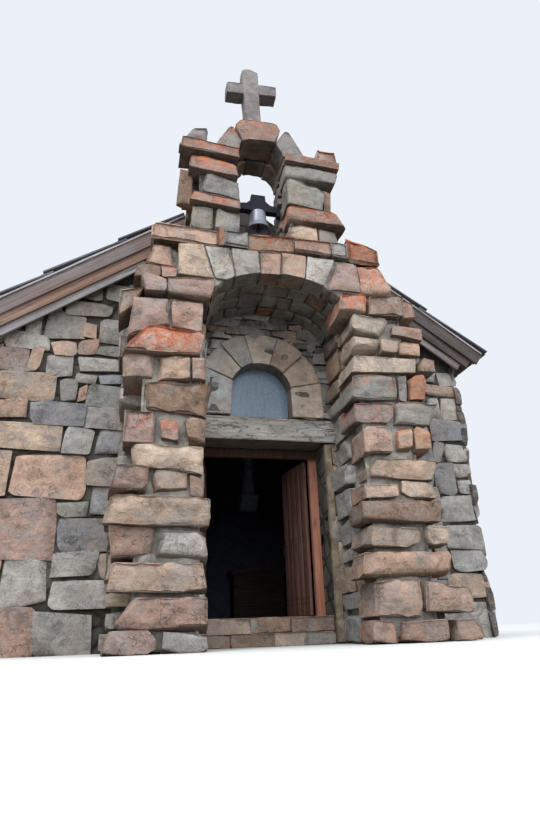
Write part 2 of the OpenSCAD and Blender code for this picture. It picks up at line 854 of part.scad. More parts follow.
// A robed figure with one raised arm, on a stone bracket that stands out from the rear wall
module figure() {
    foot = bracket_h;
    unit = figure_h / 8;
    deep = bracket_w * 0.9;
    half = bracket_w / 2;
    color("gainsboro") translate([inner_half - figure_off, inner_back, floor_h + bracket_top - foot])
        union() {
            prism_x(-half, half)
                polygon([[0, 0], [0, foot], [-deep, foot], [-deep, foot * 0.7], [-deep * 0.35, 0]]);
            translate([0, -deep / 2, foot]) {
                rotate_extrude() polygon([[0, 0], [unit, 0], [0.92 * unit, unit],
                    [0.7 * unit, 3.4 * unit], [0.62 * unit, 4.6 * unit], [0.85 * unit, 6.1 * unit],
                    [0.78 * unit, 6.5 * unit], [0.35 * unit, 6.9 * unit], [0, 6.9 * unit]]);
                translate([0, 0, 7.35 * unit]) sphere(r = 0.55 * unit);
                translate([0.6 * unit, 0, 6.2 * unit]) rotate([15, 55, 0])
                    cylinder(r = 0.24 * unit, h = 1.3 * unit);
                translate([1.6 * unit, -0.2 * unit, 6.9 * unit]) rotate([10, 10, 0])
                    cylinder(r1 = 0.22 * unit, r2 = 0.15 * unit, h = 1.2 * unit);
            }
        }
}

// Door
frame_y = front_y + door_reveal;
leaf_face = frame_y + frame_d;
clear_half = door_w / 2 - frame_w;
leaf_w = clear_half - leaf_side_gap - leaf_meet_gap / 2;
leaf_low = floor_h + leaf_end_gap;
leaf_high = door_top - frame_w - leaf_end_gap;
pin_x = clear_half;
pin_in = 18;
pin_r = 8;
eye_r = 14;
eye_h = 44;
hinge_in = 0.13 * door_h;
hinge_z = [leaf_low + hinge_in, leaf_high - hinge_in];

module door_frame() {
    stop_y = leaf_face - leaf_t - leaf_side_gap;
    color("sienna") prism_z(floor_h, door_top - frame_w) translate([door_x, 0]) both_sides_2d() {
        translate([clear_half, frame_y]) square([frame_w, frame_d]);
        translate([clear_half - stop_w, frame_y]) square([stop_w, stop_y - frame_y]);
    }
    color("sienna") translate([door_x, 0, 0]) {
        box(-door_w / 2, door_w / 2, frame_y, leaf_face, door_top - frame_w, door_top);
        box(-clear_half, clear_half, frame_y, stop_y, door_top - frame_w - stop_w, door_top - frame_w);
    }
}

module both_sides_2d() {
    children();
    mirror([1, 0]) children();
}

// The pins that the leaves hang on, each on an arm that is fixed to the frame
module door_pintles() {
    color("black") translate([door_x, leaf_face, 0]) both_sides() for (z = hinge_z) {
        translate([pin_x, pin_in, z]) cylinder(r = pin_r, h = eye_h + 20);
        translate([pin_x, 0, z - 14]) prism_z(0, 14 - 2 * seat_gap)
            polygon([[-12, 6], [leaf_side_gap, 6], [leaf_side_gap, 0], [60, 0], [60, 12], [12, pin_in + 12],
                [-12, pin_in + 12]]);
    }
}

// Turns a closed right leaf, with its pin at the origin, to where it stands open
module hung(side) {
    translate([door_x + side * pin_x, leaf_face + pin_in, 0]) mirror([side < 0 ? 1 : 0, 0, 0])
        rotate([0, 0, -open_angle]) children();
}

// Upright planks on three ledges, with a groove between each two planks on both faces
module leaf() {
    ledge_h = 130;
    ledge_t = 28;
    groove_w = 6;
    inner = -pin_in;
    plank = leaf_w / plank_count;
    difference() {
        box(-leaf_side_gap - leaf_w, -leaf_side_gap, inner - leaf_t, inner, leaf_low, leaf_high);
        for (i = [1:plank_count - 1], face = [inner - leaf_t, inner])
            translate([-leaf_side_gap - i * plank - groove_w / 2, face - plank_groove, leaf_low - 1])
                cube([groove_w, 2 * plank_groove, leaf_high - leaf_low + 2]);
    }
    for (z = [hinge_z[0] - 150, hinge_z[1] + 60, (hinge_z[0] + hinge_z[1]) / 2])
        box(-leaf_side_gap - leaf_w + 30, -leaf_side_gap - 60, inner, inner + ledge_t, z, z + ledge_h);
}

module leaf_hinges() {
    strap_t = 10;
    strap_l = 480;
    for (z = hinge_z) {
        difference() {
            union() {
                translate([0, 0, z]) cylinder(r = eye_r, h = eye_h);
                box(-strap_l, 0, -pin_in, strap_t - pin_in, z, z + eye_h);
            }
            translate([0, 0, z - 1]) cylinder(r = pin_r + eye_gap, h = eye_h + 2);
        }
    }
}

module door_leaf_right() {
    color("saddlebrown") hung(1) leaf();
}

module door_leaf_left() {
    color("saddlebrown") hung(-1) leaf();
}

module door_hinges_right() {
    color("black") hung(1) leaf_hinges();
}

module door_hinges_left() {
    color("black") hung(-1) leaf_hinges();
}

// The lock's case is on the inner face. The handle on the outer face is a bow on two feet.
module door_lock() {
    case = [160, 30, 110];
    edge = -leaf_side_gap - leaf_w;
    outer = -pin_in - leaf_t;
    bow_h = 150;
    bow_out = 45;
    bow_t = 14;
    color("black") hung(1) {
        translate([edge + 20, -pin_in, floor_h + lock_up]) cube(case);
        translate([edge + 60, 0, floor_h + handle_up]) prism_x(0, bow_t) difference() {
            translate([outer - bow_out, 0]) square([bow_out, bow_h]);
            translate([outer - bow_out + bow_t, bow_t]) square([bow_out, bow_h - 2 * bow_t]);
        }
    }
}

floor_slab();
door_sill();
front_wall_left();
front_wall_right();
front_gable();
side_wall_left();
side_wall_right();
rear_wall();
door_lintel();
window_ring();
window_pane();
door_frame();
door_pintles();
porch_pier_left();
porch_pier_right();
porch_arch();
porch_shoulder_left();
porch_shoulder_right();
coping();
end_block();
bell_pier_left();
bell_pier_right();
bell_arch();
cross();
bell_bearings();
roofing_left();
roofing_right();
roof_deck_left();
roof_deck_right();
ridge_beam();
purlins();
wall_plates();
verge_boards_front();
verge_boards_rear();
ridge_cap();
altar();
figure();
door_leaf_left();
door_hinges_left();
door_leaf_right();
door_hinges_right();
door_lock();
bell_yoke();
bell();
bell_clapper();
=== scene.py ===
"""Dresses the small mountain chapel: its stones, boards, ironwork, finishes, light and camera.

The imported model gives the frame. Metres, +Z up, the front of the building faces -Y, and left and
right are as seen from the front. Stones are laid from schedules of courses, as a mason would
write them, and boards are cut and fixed one by one.
"""

import logging
import math
from collections.abc import Callable, Sequence
from dataclasses import dataclass, replace
from enum import Enum

import bpy
import numpy as np
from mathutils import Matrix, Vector


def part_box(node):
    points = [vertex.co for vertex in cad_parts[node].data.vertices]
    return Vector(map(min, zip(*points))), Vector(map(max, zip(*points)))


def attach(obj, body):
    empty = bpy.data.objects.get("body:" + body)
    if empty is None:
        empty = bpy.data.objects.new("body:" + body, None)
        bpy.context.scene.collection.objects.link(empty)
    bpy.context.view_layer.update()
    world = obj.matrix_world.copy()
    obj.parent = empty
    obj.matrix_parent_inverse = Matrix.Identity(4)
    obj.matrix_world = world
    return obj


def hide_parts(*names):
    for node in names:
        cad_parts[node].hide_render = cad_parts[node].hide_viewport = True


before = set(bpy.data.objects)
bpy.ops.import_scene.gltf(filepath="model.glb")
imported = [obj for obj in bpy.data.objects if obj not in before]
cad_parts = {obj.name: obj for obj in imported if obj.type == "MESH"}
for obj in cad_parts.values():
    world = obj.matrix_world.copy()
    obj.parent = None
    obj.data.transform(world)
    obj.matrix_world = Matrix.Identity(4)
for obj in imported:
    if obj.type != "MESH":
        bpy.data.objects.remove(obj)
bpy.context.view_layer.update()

LOG = logging.getLogger("chapel")

Colour = tuple[float, float, float]
Pair = tuple[float, float]
Curve = Callable[[np.ndarray], np.ndarray]
Face = Callable[[np.ndarray, np.ndarray], np.ndarray]
Socket = bpy.types.NodeSocket

# Factors that scramble the corners of the noise's cells
HASH = (374761393, 668265263, 715225739)
SEED_STEP = 1274126177
SCRAMBLE = 1103515245
WORD = 0x7FFFFFFF
# Spacing of a block's points along X, Y and Z, as shares of its cell
SPACING = (1, 1.7, 1)
# Half of the field in which each block's pattern is drawn
FIELD = 50
# Most noise lies between these values
USUAL = (0.3, 0.7)


# Colour and noise

def linear(colour: Colour) -> Colour:
    """Turns a colour as it looks on a display into the renderer's own values."""
    return tuple(c / 12.92 if c <= 0.04045 else ((c + 0.055) / 1.055) ** 2.4 for c in colour)


def lattice_noise(points: np.ndarray, seed: int) -> np.ndarray:
    """Smooth noise from -1 to 1.

    Args:
        points: Places, one row each, where one unit is one cell of the noise.
        seed: Picks the pattern.

    Returns:
        One value for each place.
    """
    cell = np.floor(points).astype(np.int64)
    part = points - cell
    part = part * part * (3 - 2 * part)
    total = np.zeros(len(points))
    for corner in np.ndindex(2, 2, 2):
        mixed = ((cell + corner) * HASH).sum(axis=1)
        mixed = (mixed + seed * SEED_STEP) & WORD
        mixed = ((mixed ^ (mixed >> 13)) * SCRAMBLE) & WORD
        mixed = (mixed ^ (mixed >> 16)) & 0xFFFF
        share = np.prod(np.where(np.array(corner) == 1, part, 1 - part), axis=1)
        total += share * (mixed / 32767.5 - 1)
    return total


# Outlines of stones

def run(*points: Pair) -> Curve:
    """A line through points.

    Args:
        points: The points, in order.

    Returns:
        The line, from 0 at its start to 1 at its end.
    """
    spots = np.array(points, dtype=float)
    steps = np.linalg.norm(np.diff(spots, axis=0), axis=1)
    marks = np.concatenate([[0.0], np.cumsum(steps)]) / steps.sum()

    def at(share: np.ndarray) -> np.ndarray:
        """The places at shares of the run's length."""
        return np.stack([np.interp(share, marks, spots[:, i]) for i in (0, 1)], axis=1)

    return at


def arc(centre: Pair, radius: float, start: float, end: float, squash: float = 1.0) -> Curve:
    """An arc.

    Args:
        centre: Its centre.
        radius: Its radius across.
        start: Where it starts, in degrees from upright, clockwise.
        end: Where it ends.
        squash: Its height as a share of its radius.

    Returns:
        The arc, from 0 at its start to 1 at its end.
    """
    def at(share: np.ndarray) -> np.ndarray:
        """The places at shares of the arc's length."""
        angle = np.radians(start + (end - start) * share)
        return np.stack([centre[0] + radius * np.sin(angle),
                         centre[1] + radius * squash * np.cos(angle)], axis=1)

    return at


def between(foot: Curve, head: Curve) -> Face:
    """The face between two curves.

    Args:
        foot: The lower curve.
        head: The upper curve.

    Returns:
        The face, over -1 to 1 each way.
    """
    def at(across: np.ndarray, up: np.ndarray) -> np.ndarray:
        """The places in the face, from -1 to 1 each way."""
        share = np.clip((up[:, None] + 1) / 2, 0, 1)
        along = np.clip((across + 1) / 2, 0, 1)
        return foot(along) * (1 - share) + head(along) * share

    return at


def four(left_foot: Pair, right_foot: Pair, right_head: Pair, left_head: Pair) -> Face:
    """The face between four corners."""
    return between(run(left_foot, right_foot), run(left_head, right_head))


def oblong(x0: float, x1: float, z0: float, z1: float) -> Face:
    """A rectangular face."""
    return four((x0, z0), (x1, z0), (x1, z1), (x0, z1))


def beside(x: float, side: int, near: float, far: float) -> list[float]:
    """The ends, from left to right, of a span at one side of a place."""
    return sorted((x + side * near, x + side * far))


# Meshes of blocks

def steps_between(half: float, radius: float, cell: float) -> np.ndarray:
    """Grid lines across a block.

    Args:
        half: Half of the block's size.
        radius: Radius of its edges.
        cell: Spacing of the lines.

    Returns:
        The lines, with one at each end of the flat part.
    """
    flat = half - radius
    count = max(1, round(2 * flat / cell))
    return np.concatenate([[-half], np.linspace(-flat, flat, count + 1), [half]])


def box_skin(lines: Sequence[np.ndarray]) -> tuple[np.ndarray, np.ndarray]:
    """The surface of a box.

    Args:
        lines: The places of the grid lines along X, Y and Z.

    Returns:
        The points, and the quads that join them with their faces outwards.
    """
    shape = tuple(len(line) for line in lines)
    place = np.indices(shape)
    skin = np.zeros(shape, dtype=bool)
    for axis in range(3):
        skin |= (place[axis] == 0) | (place[axis] == shape[axis] - 1)
    index = np.full(shape, -1)
    index[skin] = np.arange(skin.sum())
    points = np.stack([lines[axis][place[axis][skin]] for axis in range(3)], axis=1)
    quads = []
    for axis, turned in ((0, (False, True)), (1, (True, False)), (2, (False, True))):
        for end, forward in zip((0, -1), turned):
            sheet = np.take(index, end, axis=axis)
            ring = [sheet[:-1, :-1], sheet[1:, :-1], sheet[1:, 1:], sheet[:-1, 1:]]
            quads.append(np.stack(ring if forward else ring[::-1], axis=-1).reshape(-1, 4))
    return points, np.concatenate(quads)


def worn_block(half: np.ndarray, radius: float, cell: float) -> tuple[np.ndarray, ...]:
    """A block with rounded edges.

    Args:
        half: Half of its size each way.
        radius: Radius of the edges.
        cell: Spacing of the points, which is wider along Y.

    Returns:
        The points, the direction in which each faces, and the quads.
    """
    radius = min(radius, 0.4 * half.min())
    points, quads = box_skin([steps_between(h, radius, cell * wider)
                              for h, wider in zip(half, SPACING)])
    core = np.clip(points, radius - half, half - radius)
    away = points - core
    away /= np.linalg.norm(away, axis=1, keepdims=True)
    return core + away * radius, away, quads


class Mould:
    """Blocks gathered into one mesh, with named values stored at their points."""

    def __init__(self, name: str, seed: int) -> None:
        """Starts an empty mesh.

        Args:
            name: The piece's name.
            seed: Picks its row of random numbers.
        """
        self.name = name
        self.rng = np.random.default_rng(seed)
        self.points: list[np.ndarray] = []
        self.quads: list[np.ndarray] = []
        self.values: dict[str, list[np.ndarray]] = {}
        self.total = 0

    def gather(self, points: np.ndarray, quads: np.ndarray, **values: np.ndarray) -> None:
        """Adds a block.

        Args:
            points: Its points.
            quads: Its quads, as numbers of its points.
            values: What is stored at each point, by name.
        """
        self.points.append(points)
        self.quads.append(quads + self.total)
        self.total += len(points)
        for key, value in values.items():
            self.values.setdefault(key, []).append(value)

    def piece(self, material: bpy.types.Material, crease: float = 50.0) -> bpy.types.Object:
        """Makes the gathered blocks one object.

        Args:
            material: The finish of the whole object.
            crease: Edges sharper than this, in degrees, stay sharp.

        Returns:
            The object, linked to the scene.
        """
        mesh = bpy.data.meshes.new(self.name)
        mesh.from_pydata(np.concatenate(self.points), [], np.concatenate(self.quads).tolist())
        kinds = {1: ("FLOAT", "value"), 3: ("FLOAT_VECTOR", "vector"), 4: ("FLOAT_COLOR", "color")}
        for key, parts in self.values.items():
            whole = np.concatenate(parts).astype(np.float32)
            kind, slot = kinds[1 if whole.ndim == 1 else whole.shape[1]]
            mesh.attributes.new(key, kind, "POINT").data.foreach_set(slot, whole.ravel())
        mesh.shade_smooth()
        mesh.set_sharp_from_angle(angle=math.radians(crease))
        mesh.materials.append(material)
        thing = bpy.data.objects.new(self.name, mesh)
        bpy.context.scene.collection.objects.link(thing)
        return thing

    def settle(self, material: bpy.types.Material, slot: str, *nodes: str,
               body: str = "chapel") -> None:
        """Makes the gathered blocks one object, which a body carries.

        Args:
            material: The finish of the whole object.
            slot: Passed on to settle, which doesn't use it.
            nodes: The nodes that the object stands for.
            body: The body that carries it.
        """
        settle(self.piece(material), body, slot, *nodes)


# Stone

class Tint(Enum):
    """Colours of the stones under a grey sky, as they look on a display."""

    GREY = (0.57, 0.555, 0.54)
    PALE = (0.67, 0.655, 0.635)
    BLUE = (0.525, 0.53, 0.545)
    GREEN = (0.545, 0.54, 0.51)
    SLATE = (0.505, 0.485, 0.49)
    DARK = (0.37, 0.36, 0.345)
    TAN = (0.665, 0.58, 0.515)
    BEIGE = (0.705, 0.635, 0.57)
    PINK = (0.69, 0.585, 0.525)
    ROSE = (0.645, 0.535, 0.485)
    MAUVE = (0.58, 0.50, 0.47)
    BROWN = (0.55, 0.465, 0.405)
    RUST = (0.60, 0.43, 0.35)


@dataclass(frozen=True)
class Dressing:
    """How rough a block is left, in metres, but for its lean."""

    edge: float
    chip: float
    chips: int
    split: float
    splits: int
    under: float
    pillow: float
    swell: float
    grit: float
    lean: float
    cell: float
    joint: float
    corners: float = 0.0
    # How much darker a stone's sides and back are painted than its face: painted shade in the
    # joints
    joint_shade: float = 0.15


HEWN = Dressing(edge=0.040, chip=0.100, chips=14, split=0.055, splits=7, under=0.080,
                pillow=0.045, swell=0.048, grit=0.018, lean=0.060, cell=0.030, joint=-0.066,
                corners=0.55)
SLAB = Dressing(edge=0.026, chip=0.065, chips=12, split=0.036, splits=6, under=0.045,
                pillow=0.022, swell=0.036, grit=0.014, lean=0.045, cell=0.030, joint=-0.046,
                corners=0.45)
COPE = Dressing(edge=0.018, chip=0.070, chips=16, split=0.036, splits=6, under=0.050,
                pillow=0.014, swell=0.052, grit=0.018, lean=0.060, cell=0.028, joint=-0.036,
                corners=0.3)
WALLING = Dressing(edge=0.020, chip=0.075, chips=14, split=0.040, splits=5, under=0.030,
                   pillow=0.016, swell=0.026, grit=0.012, lean=0.050, cell=0.040,
                   joint=-0.046, corners=0.6, joint_shade=0.6)
FAR_WALLING = replace(WALLING, cell=0.082, lean=0.045)
CUT = Dressing(edge=0.010, chip=0.028, chips=12, split=0.012, splits=4, under=0.0,
               pillow=0.004, swell=0.012, grit=0.006, lean=0.012, cell=0.035, joint=-0.010,
               joint_shade=0.4)
CARVED = replace(CUT, edge=0.012, chip=0.034, chips=16, grit=0.008, lean=0.0, cell=0.025,
                 joint=0.0, joint_shade=0.15)
BEAM = replace(CARVED, edge=0.014, chip=0.045, chips=20, split=0.034, splits=14,
               pillow=0.006, swell=0.026)
BEDDING = Dressing(edge=0.020, chip=0.010, chips=2, split=0.0, splits=0, under=0.0,
                   pillow=0.0, swell=0.060, grit=0.020, lean=0.0, cell=0.07, joint=0.0)
JOINT = replace(BEDDING, edge=0.010, chip=0.0, chips=0, swell=0.006, grit=0.004, cell=0.05)


class Side(Enum):
    """The side of the building that a wall faces, in quarter turns from the front."""

    FRONT = 0
    RIGHT = 1
    REAR = 2
    LEFT = 3


class Masonry(Mould):
    """Stones laid into one piece."""

    # Sizes of the swells, dents and pits of a stone's skin
    SWELLS = (0.19, 0.09, 0.035)
    # How far stones differ from their tint in warmth and in lightness
    WARMTH, LIGHTNESS = 0.030, 0.075
    # Width of a stone's face from which its chips are full-sized, and the most its corners lose
    FULL_FACE, CORNER = 0.13, 0.15

    def __init__(self, name: str, seed: int, light: float = 1.0, vary: float = 1.0) -> None:
        """Starts the piece.

        Args:
            name: Its name.
            seed: Picks the random numbers.
            light: Makes all of its stones lighter or darker.
            vary: How far its stones differ from their tints.
        """
        super().__init__(name, seed)
        self.light = light
        self.vary = vary

    def lay(self, face: Face, near: float, far: float, tint: Tint, dressing: Dressing,
            lichen: float = 0.0, side: Side = Side.FRONT) -> None:
        """Lays one stone.

        Args:
            face: The outline of the stone, seen from outside its wall.
            near: The depth of its outer face, as a Y before the wall is turned to its side.
            far: The depth of its back.
            tint: Its colour.
            dressing: How rough it is.
            lichen: How much of it orange lichen covers, from 0 to 1.
            side: The side of the building that it faces.
        """
        ends, nought = np.array([-1.0, 1.0]), np.zeros(2)
        wide = np.linalg.norm(np.diff(face(ends, nought), axis=0))
        high = np.linalg.norm(np.diff(face(nought, ends), axis=0))
        full = np.array([wide, far - near, high]) / 2
        half = full - np.array([dressing.joint, 0, dressing.joint]) / 2
        points, facing, quads = worn_block(half, dressing.edge, dressing.cell)
        where = points + self.rng.uniform(-FIELD, FIELD, 3)
        pattern = int(self.rng.integers(1, 10000))
        slow, mid, fine = (lattice_noise(where / size, pattern + i)
                           for i, size in enumerate(self.SWELLS))
        dip = dressing.swell * (0.5 + 0.5 * slow) + dressing.grit * (1 + 0.7 * mid + 0.3 * fine)
        rim = np.maximum(np.abs(points[:, 0]) / half[0], np.abs(points[:, 2]) / half[2]) ** 3
        crown = dressing.pillow * self.rng.uniform(0.3, 1.4) * rim * np.maximum(-facing[:, 1], 0)
        points = points - facing * np.minimum(dip + crown, 0.35 * half.min())[:, None]
        points = self.chipped(points, half, dressing)
        spread = face(points[:, 0] / full[0], points[:, 2] / full[2])
        share = (points[:, 1] / full[1] + 1) / 2
        lean = self.rng.normal(0, dressing.lean, 2)
        out = (1 - share) * (points[:, 0] * lean[0] + points[:, 2] * lean[1])
        depth = near + share * (far - near) + out
        height = np.where(spread[:, 1] < 0, 0.1 * spread[:, 1], spread[:, 1])
        placed = np.stack([spread[:, 0], depth, height], axis=1)
        for _ in range(side.value):
            placed = np.stack([-placed[:, 1], placed[:, 0], placed[:, 2]], axis=1)
        shade = linear(tint.value)
        warm = self.rng.normal(0, self.WARMTH) * self.vary
        light = (1 + self.rng.normal(0, self.LIGHTNESS) * self.vary) * self.light ** 2
        own = np.array([shade[0] * (1 + warm), shade[1], shade[2] * (1 - warm)]) * light
        colour = np.tile(np.append(own, 1.0), (len(placed), 1))
        # Each stone is painted with light and shade: its sides and back darker, as painted shade
        # in the joints, and its top lighter and its underside darker by up to a tenth, as painted
        # light from above.
        joint_shaded = 1 - dressing.joint_shade * (1 - np.maximum(-facing[:, 1:2], 0))
        colour[:, :3] *= (1 + 0.10 * facing[:, 2:]) * joint_shaded
        cover = max(0.0, lichen + self.rng.normal(0, 0.05) * (lichen > 0))
        shares = 0.75 + 0.25 * facing[:, 2] + 0.22 * points[:, 2] / half[2]
        # The stored under share marks the undersides, which the finishes paint darker as painted
        # shade.
        self.gather(placed, quads, tint=colour, lichen=cover * shares,
                    relief=0.5 - 0.3 * slow - 0.2 * mid, under=np.maximum(-facing[:, 2], 0))

    def chipped(self, points: np.ndarray, half: np.ndarray, dressing: Dressing) -> np.ndarray:
        """Knocks flakes off a block's edges and corners, undercuts it and splits its face.

        Args:
            points: The block's points.
            half: Half of its size each way.
            dressing: How rough it is.

        Returns:
            The points where they end up.
        """
        rng = self.rng
        small = min(1.0, min(half[0], half[2]) / self.FULL_FACE)
        for _ in range(dressing.chips):
            lean = rng.uniform(0.35, 1.0, 3) * rng.choice([-1, 1], 3)
            lean[rng.integers(0, 3)] *= rng.uniform(0, 0.5)
            deep = dressing.chip * small * rng.uniform(0.25, 1.15)
            points = self.planed(points, half, lean, deep)
        for across, up in ((-1, -1), (-1, 1), (1, -1), (1, 1)):
            if rng.random() < dressing.corners:
                lean = np.array([across * rng.uniform(0.45, 1), 0.0, up * rng.uniform(0.45, 1)])
                deep = rng.uniform(0.10, 0.42) * min(half[0], half[2], self.CORNER)
                points = self.planed(points, half, lean, deep)
        if dressing.under:
            lean = np.array([rng.uniform(-0.25, 0.25), -rng.uniform(0.35, 0.9), -1.0])
            deep = dressing.under * small * rng.uniform(0.2, 1.7)
            points = self.planed(points, half, lean, deep)
        for _ in range(dressing.splits):
            lean = np.array([rng.uniform(-0.35, 0.35), -1.0, rng.uniform(-0.4, 0.4)])
            lean /= np.linalg.norm(lean)
            reach = (np.abs(lean) * half).sum() - dressing.split * small * rng.uniform(0.3, 1.2)
            over = np.clip((points @ lean - reach) / -lean[1], 0, dressing.split)
            points = points + over[:, None] * np.array([0.0, 1.0, 0.0])
        return points

    @staticmethod
    def planed(points: np.ndarray, half: np.ndarray, lean: np.ndarray, deep: float) -> np.ndarray:
        """Cuts a corner or an edge of a block away by a plane.

        Args:
            points: The block's points.
            half: Half of its size each way.
            lean: The direction that the plane faces.
            deep: How far the plane reaches into the block's box.

        Returns:
            The points, none of which stands out of the plane.
        """
        lean = lean / np.linalg.norm(lean)
        over = np.maximum(points @ lean - ((np.abs(lean) * half).sum() - deep), 0)
        return points - over[:, None] * lean


@dataclass(frozen=True)
class Block:
    """A stone with its own outline.

    Its corners, in centimetres, run from the lower left by the lower right to the upper right
    and the upper left.
    """

    corners: tuple[int, ...]
    tint: Tint
    lichen: float = 0.0
    out: float = 0.0
    dressing: Dressing = HEWN

    def face(self) -> Face:
        """Its outline, in metres."""
        spots = [c / 100 for c in self.corners]
        return four(*zip(spots[::2], spots[1::2]))


# Shading

class Graph:
    """A node tree that is built with short calls."""

    def __init__(self, tree: bpy.types.NodeTree) -> None:
        """Clears the tree."""
        self.tree = tree
        tree.nodes.clear()

    def add(self, kind: str, inputs: dict | None = None, **settings) -> bpy.types.Node:
        """Adds a node.

        Args:
            kind: The node's type.
            inputs: Values or sockets for its inputs, by name or number.
            settings: Values for its own fields.

        Returns:
            The node.
        """
        node = self.tree.nodes.new(kind)
        for key, value in settings.items():
            setattr(node, key, value)
        for key, value in (inputs or {}).items():
            if isinstance(value, bpy.types.NodeSocket):
                self.tree.links.new(value, node.inputs[key])
            else:
                node.inputs[key].default_value = value
        return node


class Paint(Graph):
    """The shading tree of one finish."""

    def __init__(self, name: str) -> None:
        """Makes the material and finds its coordinates.

        Args:
            name: The finish's name.
        """
        self.material = bpy.data.materials.new(name)
        self.material.use_nodes = True
        super().__init__(self.material.node_tree)
        self.place = self.add("ShaderNodeTexCoord").outputs["Object"]

    def stored(self, name: str, output: str = "Fac") -> Socket:
        """A value that is stored on the mesh."""
        return self.add("ShaderNodeAttribute", attribute_name=name).outputs[output]

    def stretched(self, vector: Socket, scale: Sequence[float]) -> Socket:
        """Coordinates scaled by a factor each way."""
        return self.add("ShaderNodeVectorMath", {0: vector, 1: scale},
                        operation="MULTIPLY").outputs["Vector"]

    def noise(self, vector: Socket, scale: float, detail: float = 4.0, rough: float = 0.55,
              warp: float = 0.0) -> Socket:
        """Cloudy noise, mostly between 0.3 and 0.7.

        Args:
            vector: Where it is read.
            scale: How often it repeats in a metre.
            detail: How many finer layers it has.
            rough: How strong each finer layer is.
            warp: How far it twists itself.

        Returns:
            The socket.
        """
        return self.add("ShaderNodeTexNoise", {
            "Vector": vector, "Scale": scale, "Detail": detail, "Roughness": rough,
            "Distortion": warp}).outputs["Fac"]

    def cells(self, vector: Socket, scale: float, feature: str = "F1",
              output: str = "Distance") -> Socket:
        """Cellular noise."""
        return self.add("ShaderNodeTexVoronoi", {"Vector": vector, "Scale": scale},
                        feature=feature).outputs[output]

    def span(self, value: Socket, low: float, high: float, start: float = 0.0,
             end: float = 1.0) -> Socket:
        """Maps a range of a value to another range and holds it there.

        Args:
            value: The value.
            low: The value that becomes the start.
            high: The value that becomes the end.
            start: The start.
            end: The end.

        Returns:
            The socket.
        """
        return self.add("ShaderNodeMapRange", {
            "Value": value, "From Min": low, "From Max": high, "To Min": start,
            "To Max": end}).outputs["Result"]

    def sums(self, operation: str, a: Socket | float, b: Socket | float = 0.0) -> Socket:
        """One step of arithmetic."""
        return self.add("ShaderNodeMath", {0: a, 1: b}, operation=operation).outputs[0]

    def plus(self, a: Socket | float, b: Socket | float) -> Socket:
        """A sum."""
        return self.sums("ADD", a, b)

    def minus(self, a: Socket | float, b: Socket | float) -> Socket:
        """A difference."""
        return self.sums("SUBTRACT", a, b)

    def times(self, a: Socket | float, b: Socket | float) -> Socket:
        """A product."""
        return self.sums("MULTIPLY", a, b)

    def axes(self, vector: Socket) -> Sequence[Socket]:
        """The three parts of a vector."""
        return self.add("ShaderNodeSeparateXYZ", {0: vector}).outputs

    def shaded(self, colour: Socket, *shades: Socket) -> Socket:
        """A colour made lighter or darker by each shade in turn.

        Args:
            colour: The colour.
            *shades: What it is multiplied by.

        Returns:
            The socket.
        """
        for shade in shades:
            colour = self.add("ShaderNodeVectorMath", {0: colour, "Scale": shade},
                              operation="SCALE").outputs["Vector"]
        return colour

    def mixed(self, share: Socket | float, a: Socket | Colour, b: Socket | Colour) -> Socket:
        """A blend of two colours, each a socket or a colour as it looks on a display.

        Args:
            share: How much of the second colour it has.
            a: The first colour.
            b: The second colour.

        Returns:
            The socket.
        """
        ends = [c if isinstance(c, bpy.types.NodeSocket) else (*linear(c), 1.0) for c in (a, b)]
        return self.add("ShaderNodeMix", {0: share, 6: ends[0], 7: ends[1]},
                        data_type="RGBA").outputs[2]

    def dented(self, height: Socket, strength: float, distance: float) -> Socket:
        """A bumped normal."""
        return self.add("ShaderNodeBump", {
            "Height": height, "Strength": strength, "Distance": distance}).outputs["Normal"]

    def done(self, colour: Socket | Colour, rough: Socket | float, normal: Socket | None = None,
             **fixed: float) -> bpy.types.Material:
        """Ends the tree in a shader.

        Args:
            colour: The base colour.
            rough: The roughness.
            normal: A bumped normal.
            fixed: Other inputs of the shader, by name with _ for spaces.

        Returns:
            The material.
        """
        if not isinstance(colour, bpy.types.NodeSocket):
            colour = (*linear(colour), 1.0)
        inputs = {"Base Color": colour, "Roughness": rough}
        if normal is not None:
            inputs["Normal"] = normal
        inputs.update({key.replace("_", " "): value for key, value in fixed.items()})
        shader = self.add("ShaderNodeBsdfPrincipled", inputs)
        self.add("ShaderNodeOutputMaterial", {"Surface": shader.outputs[0]})
        return self.material


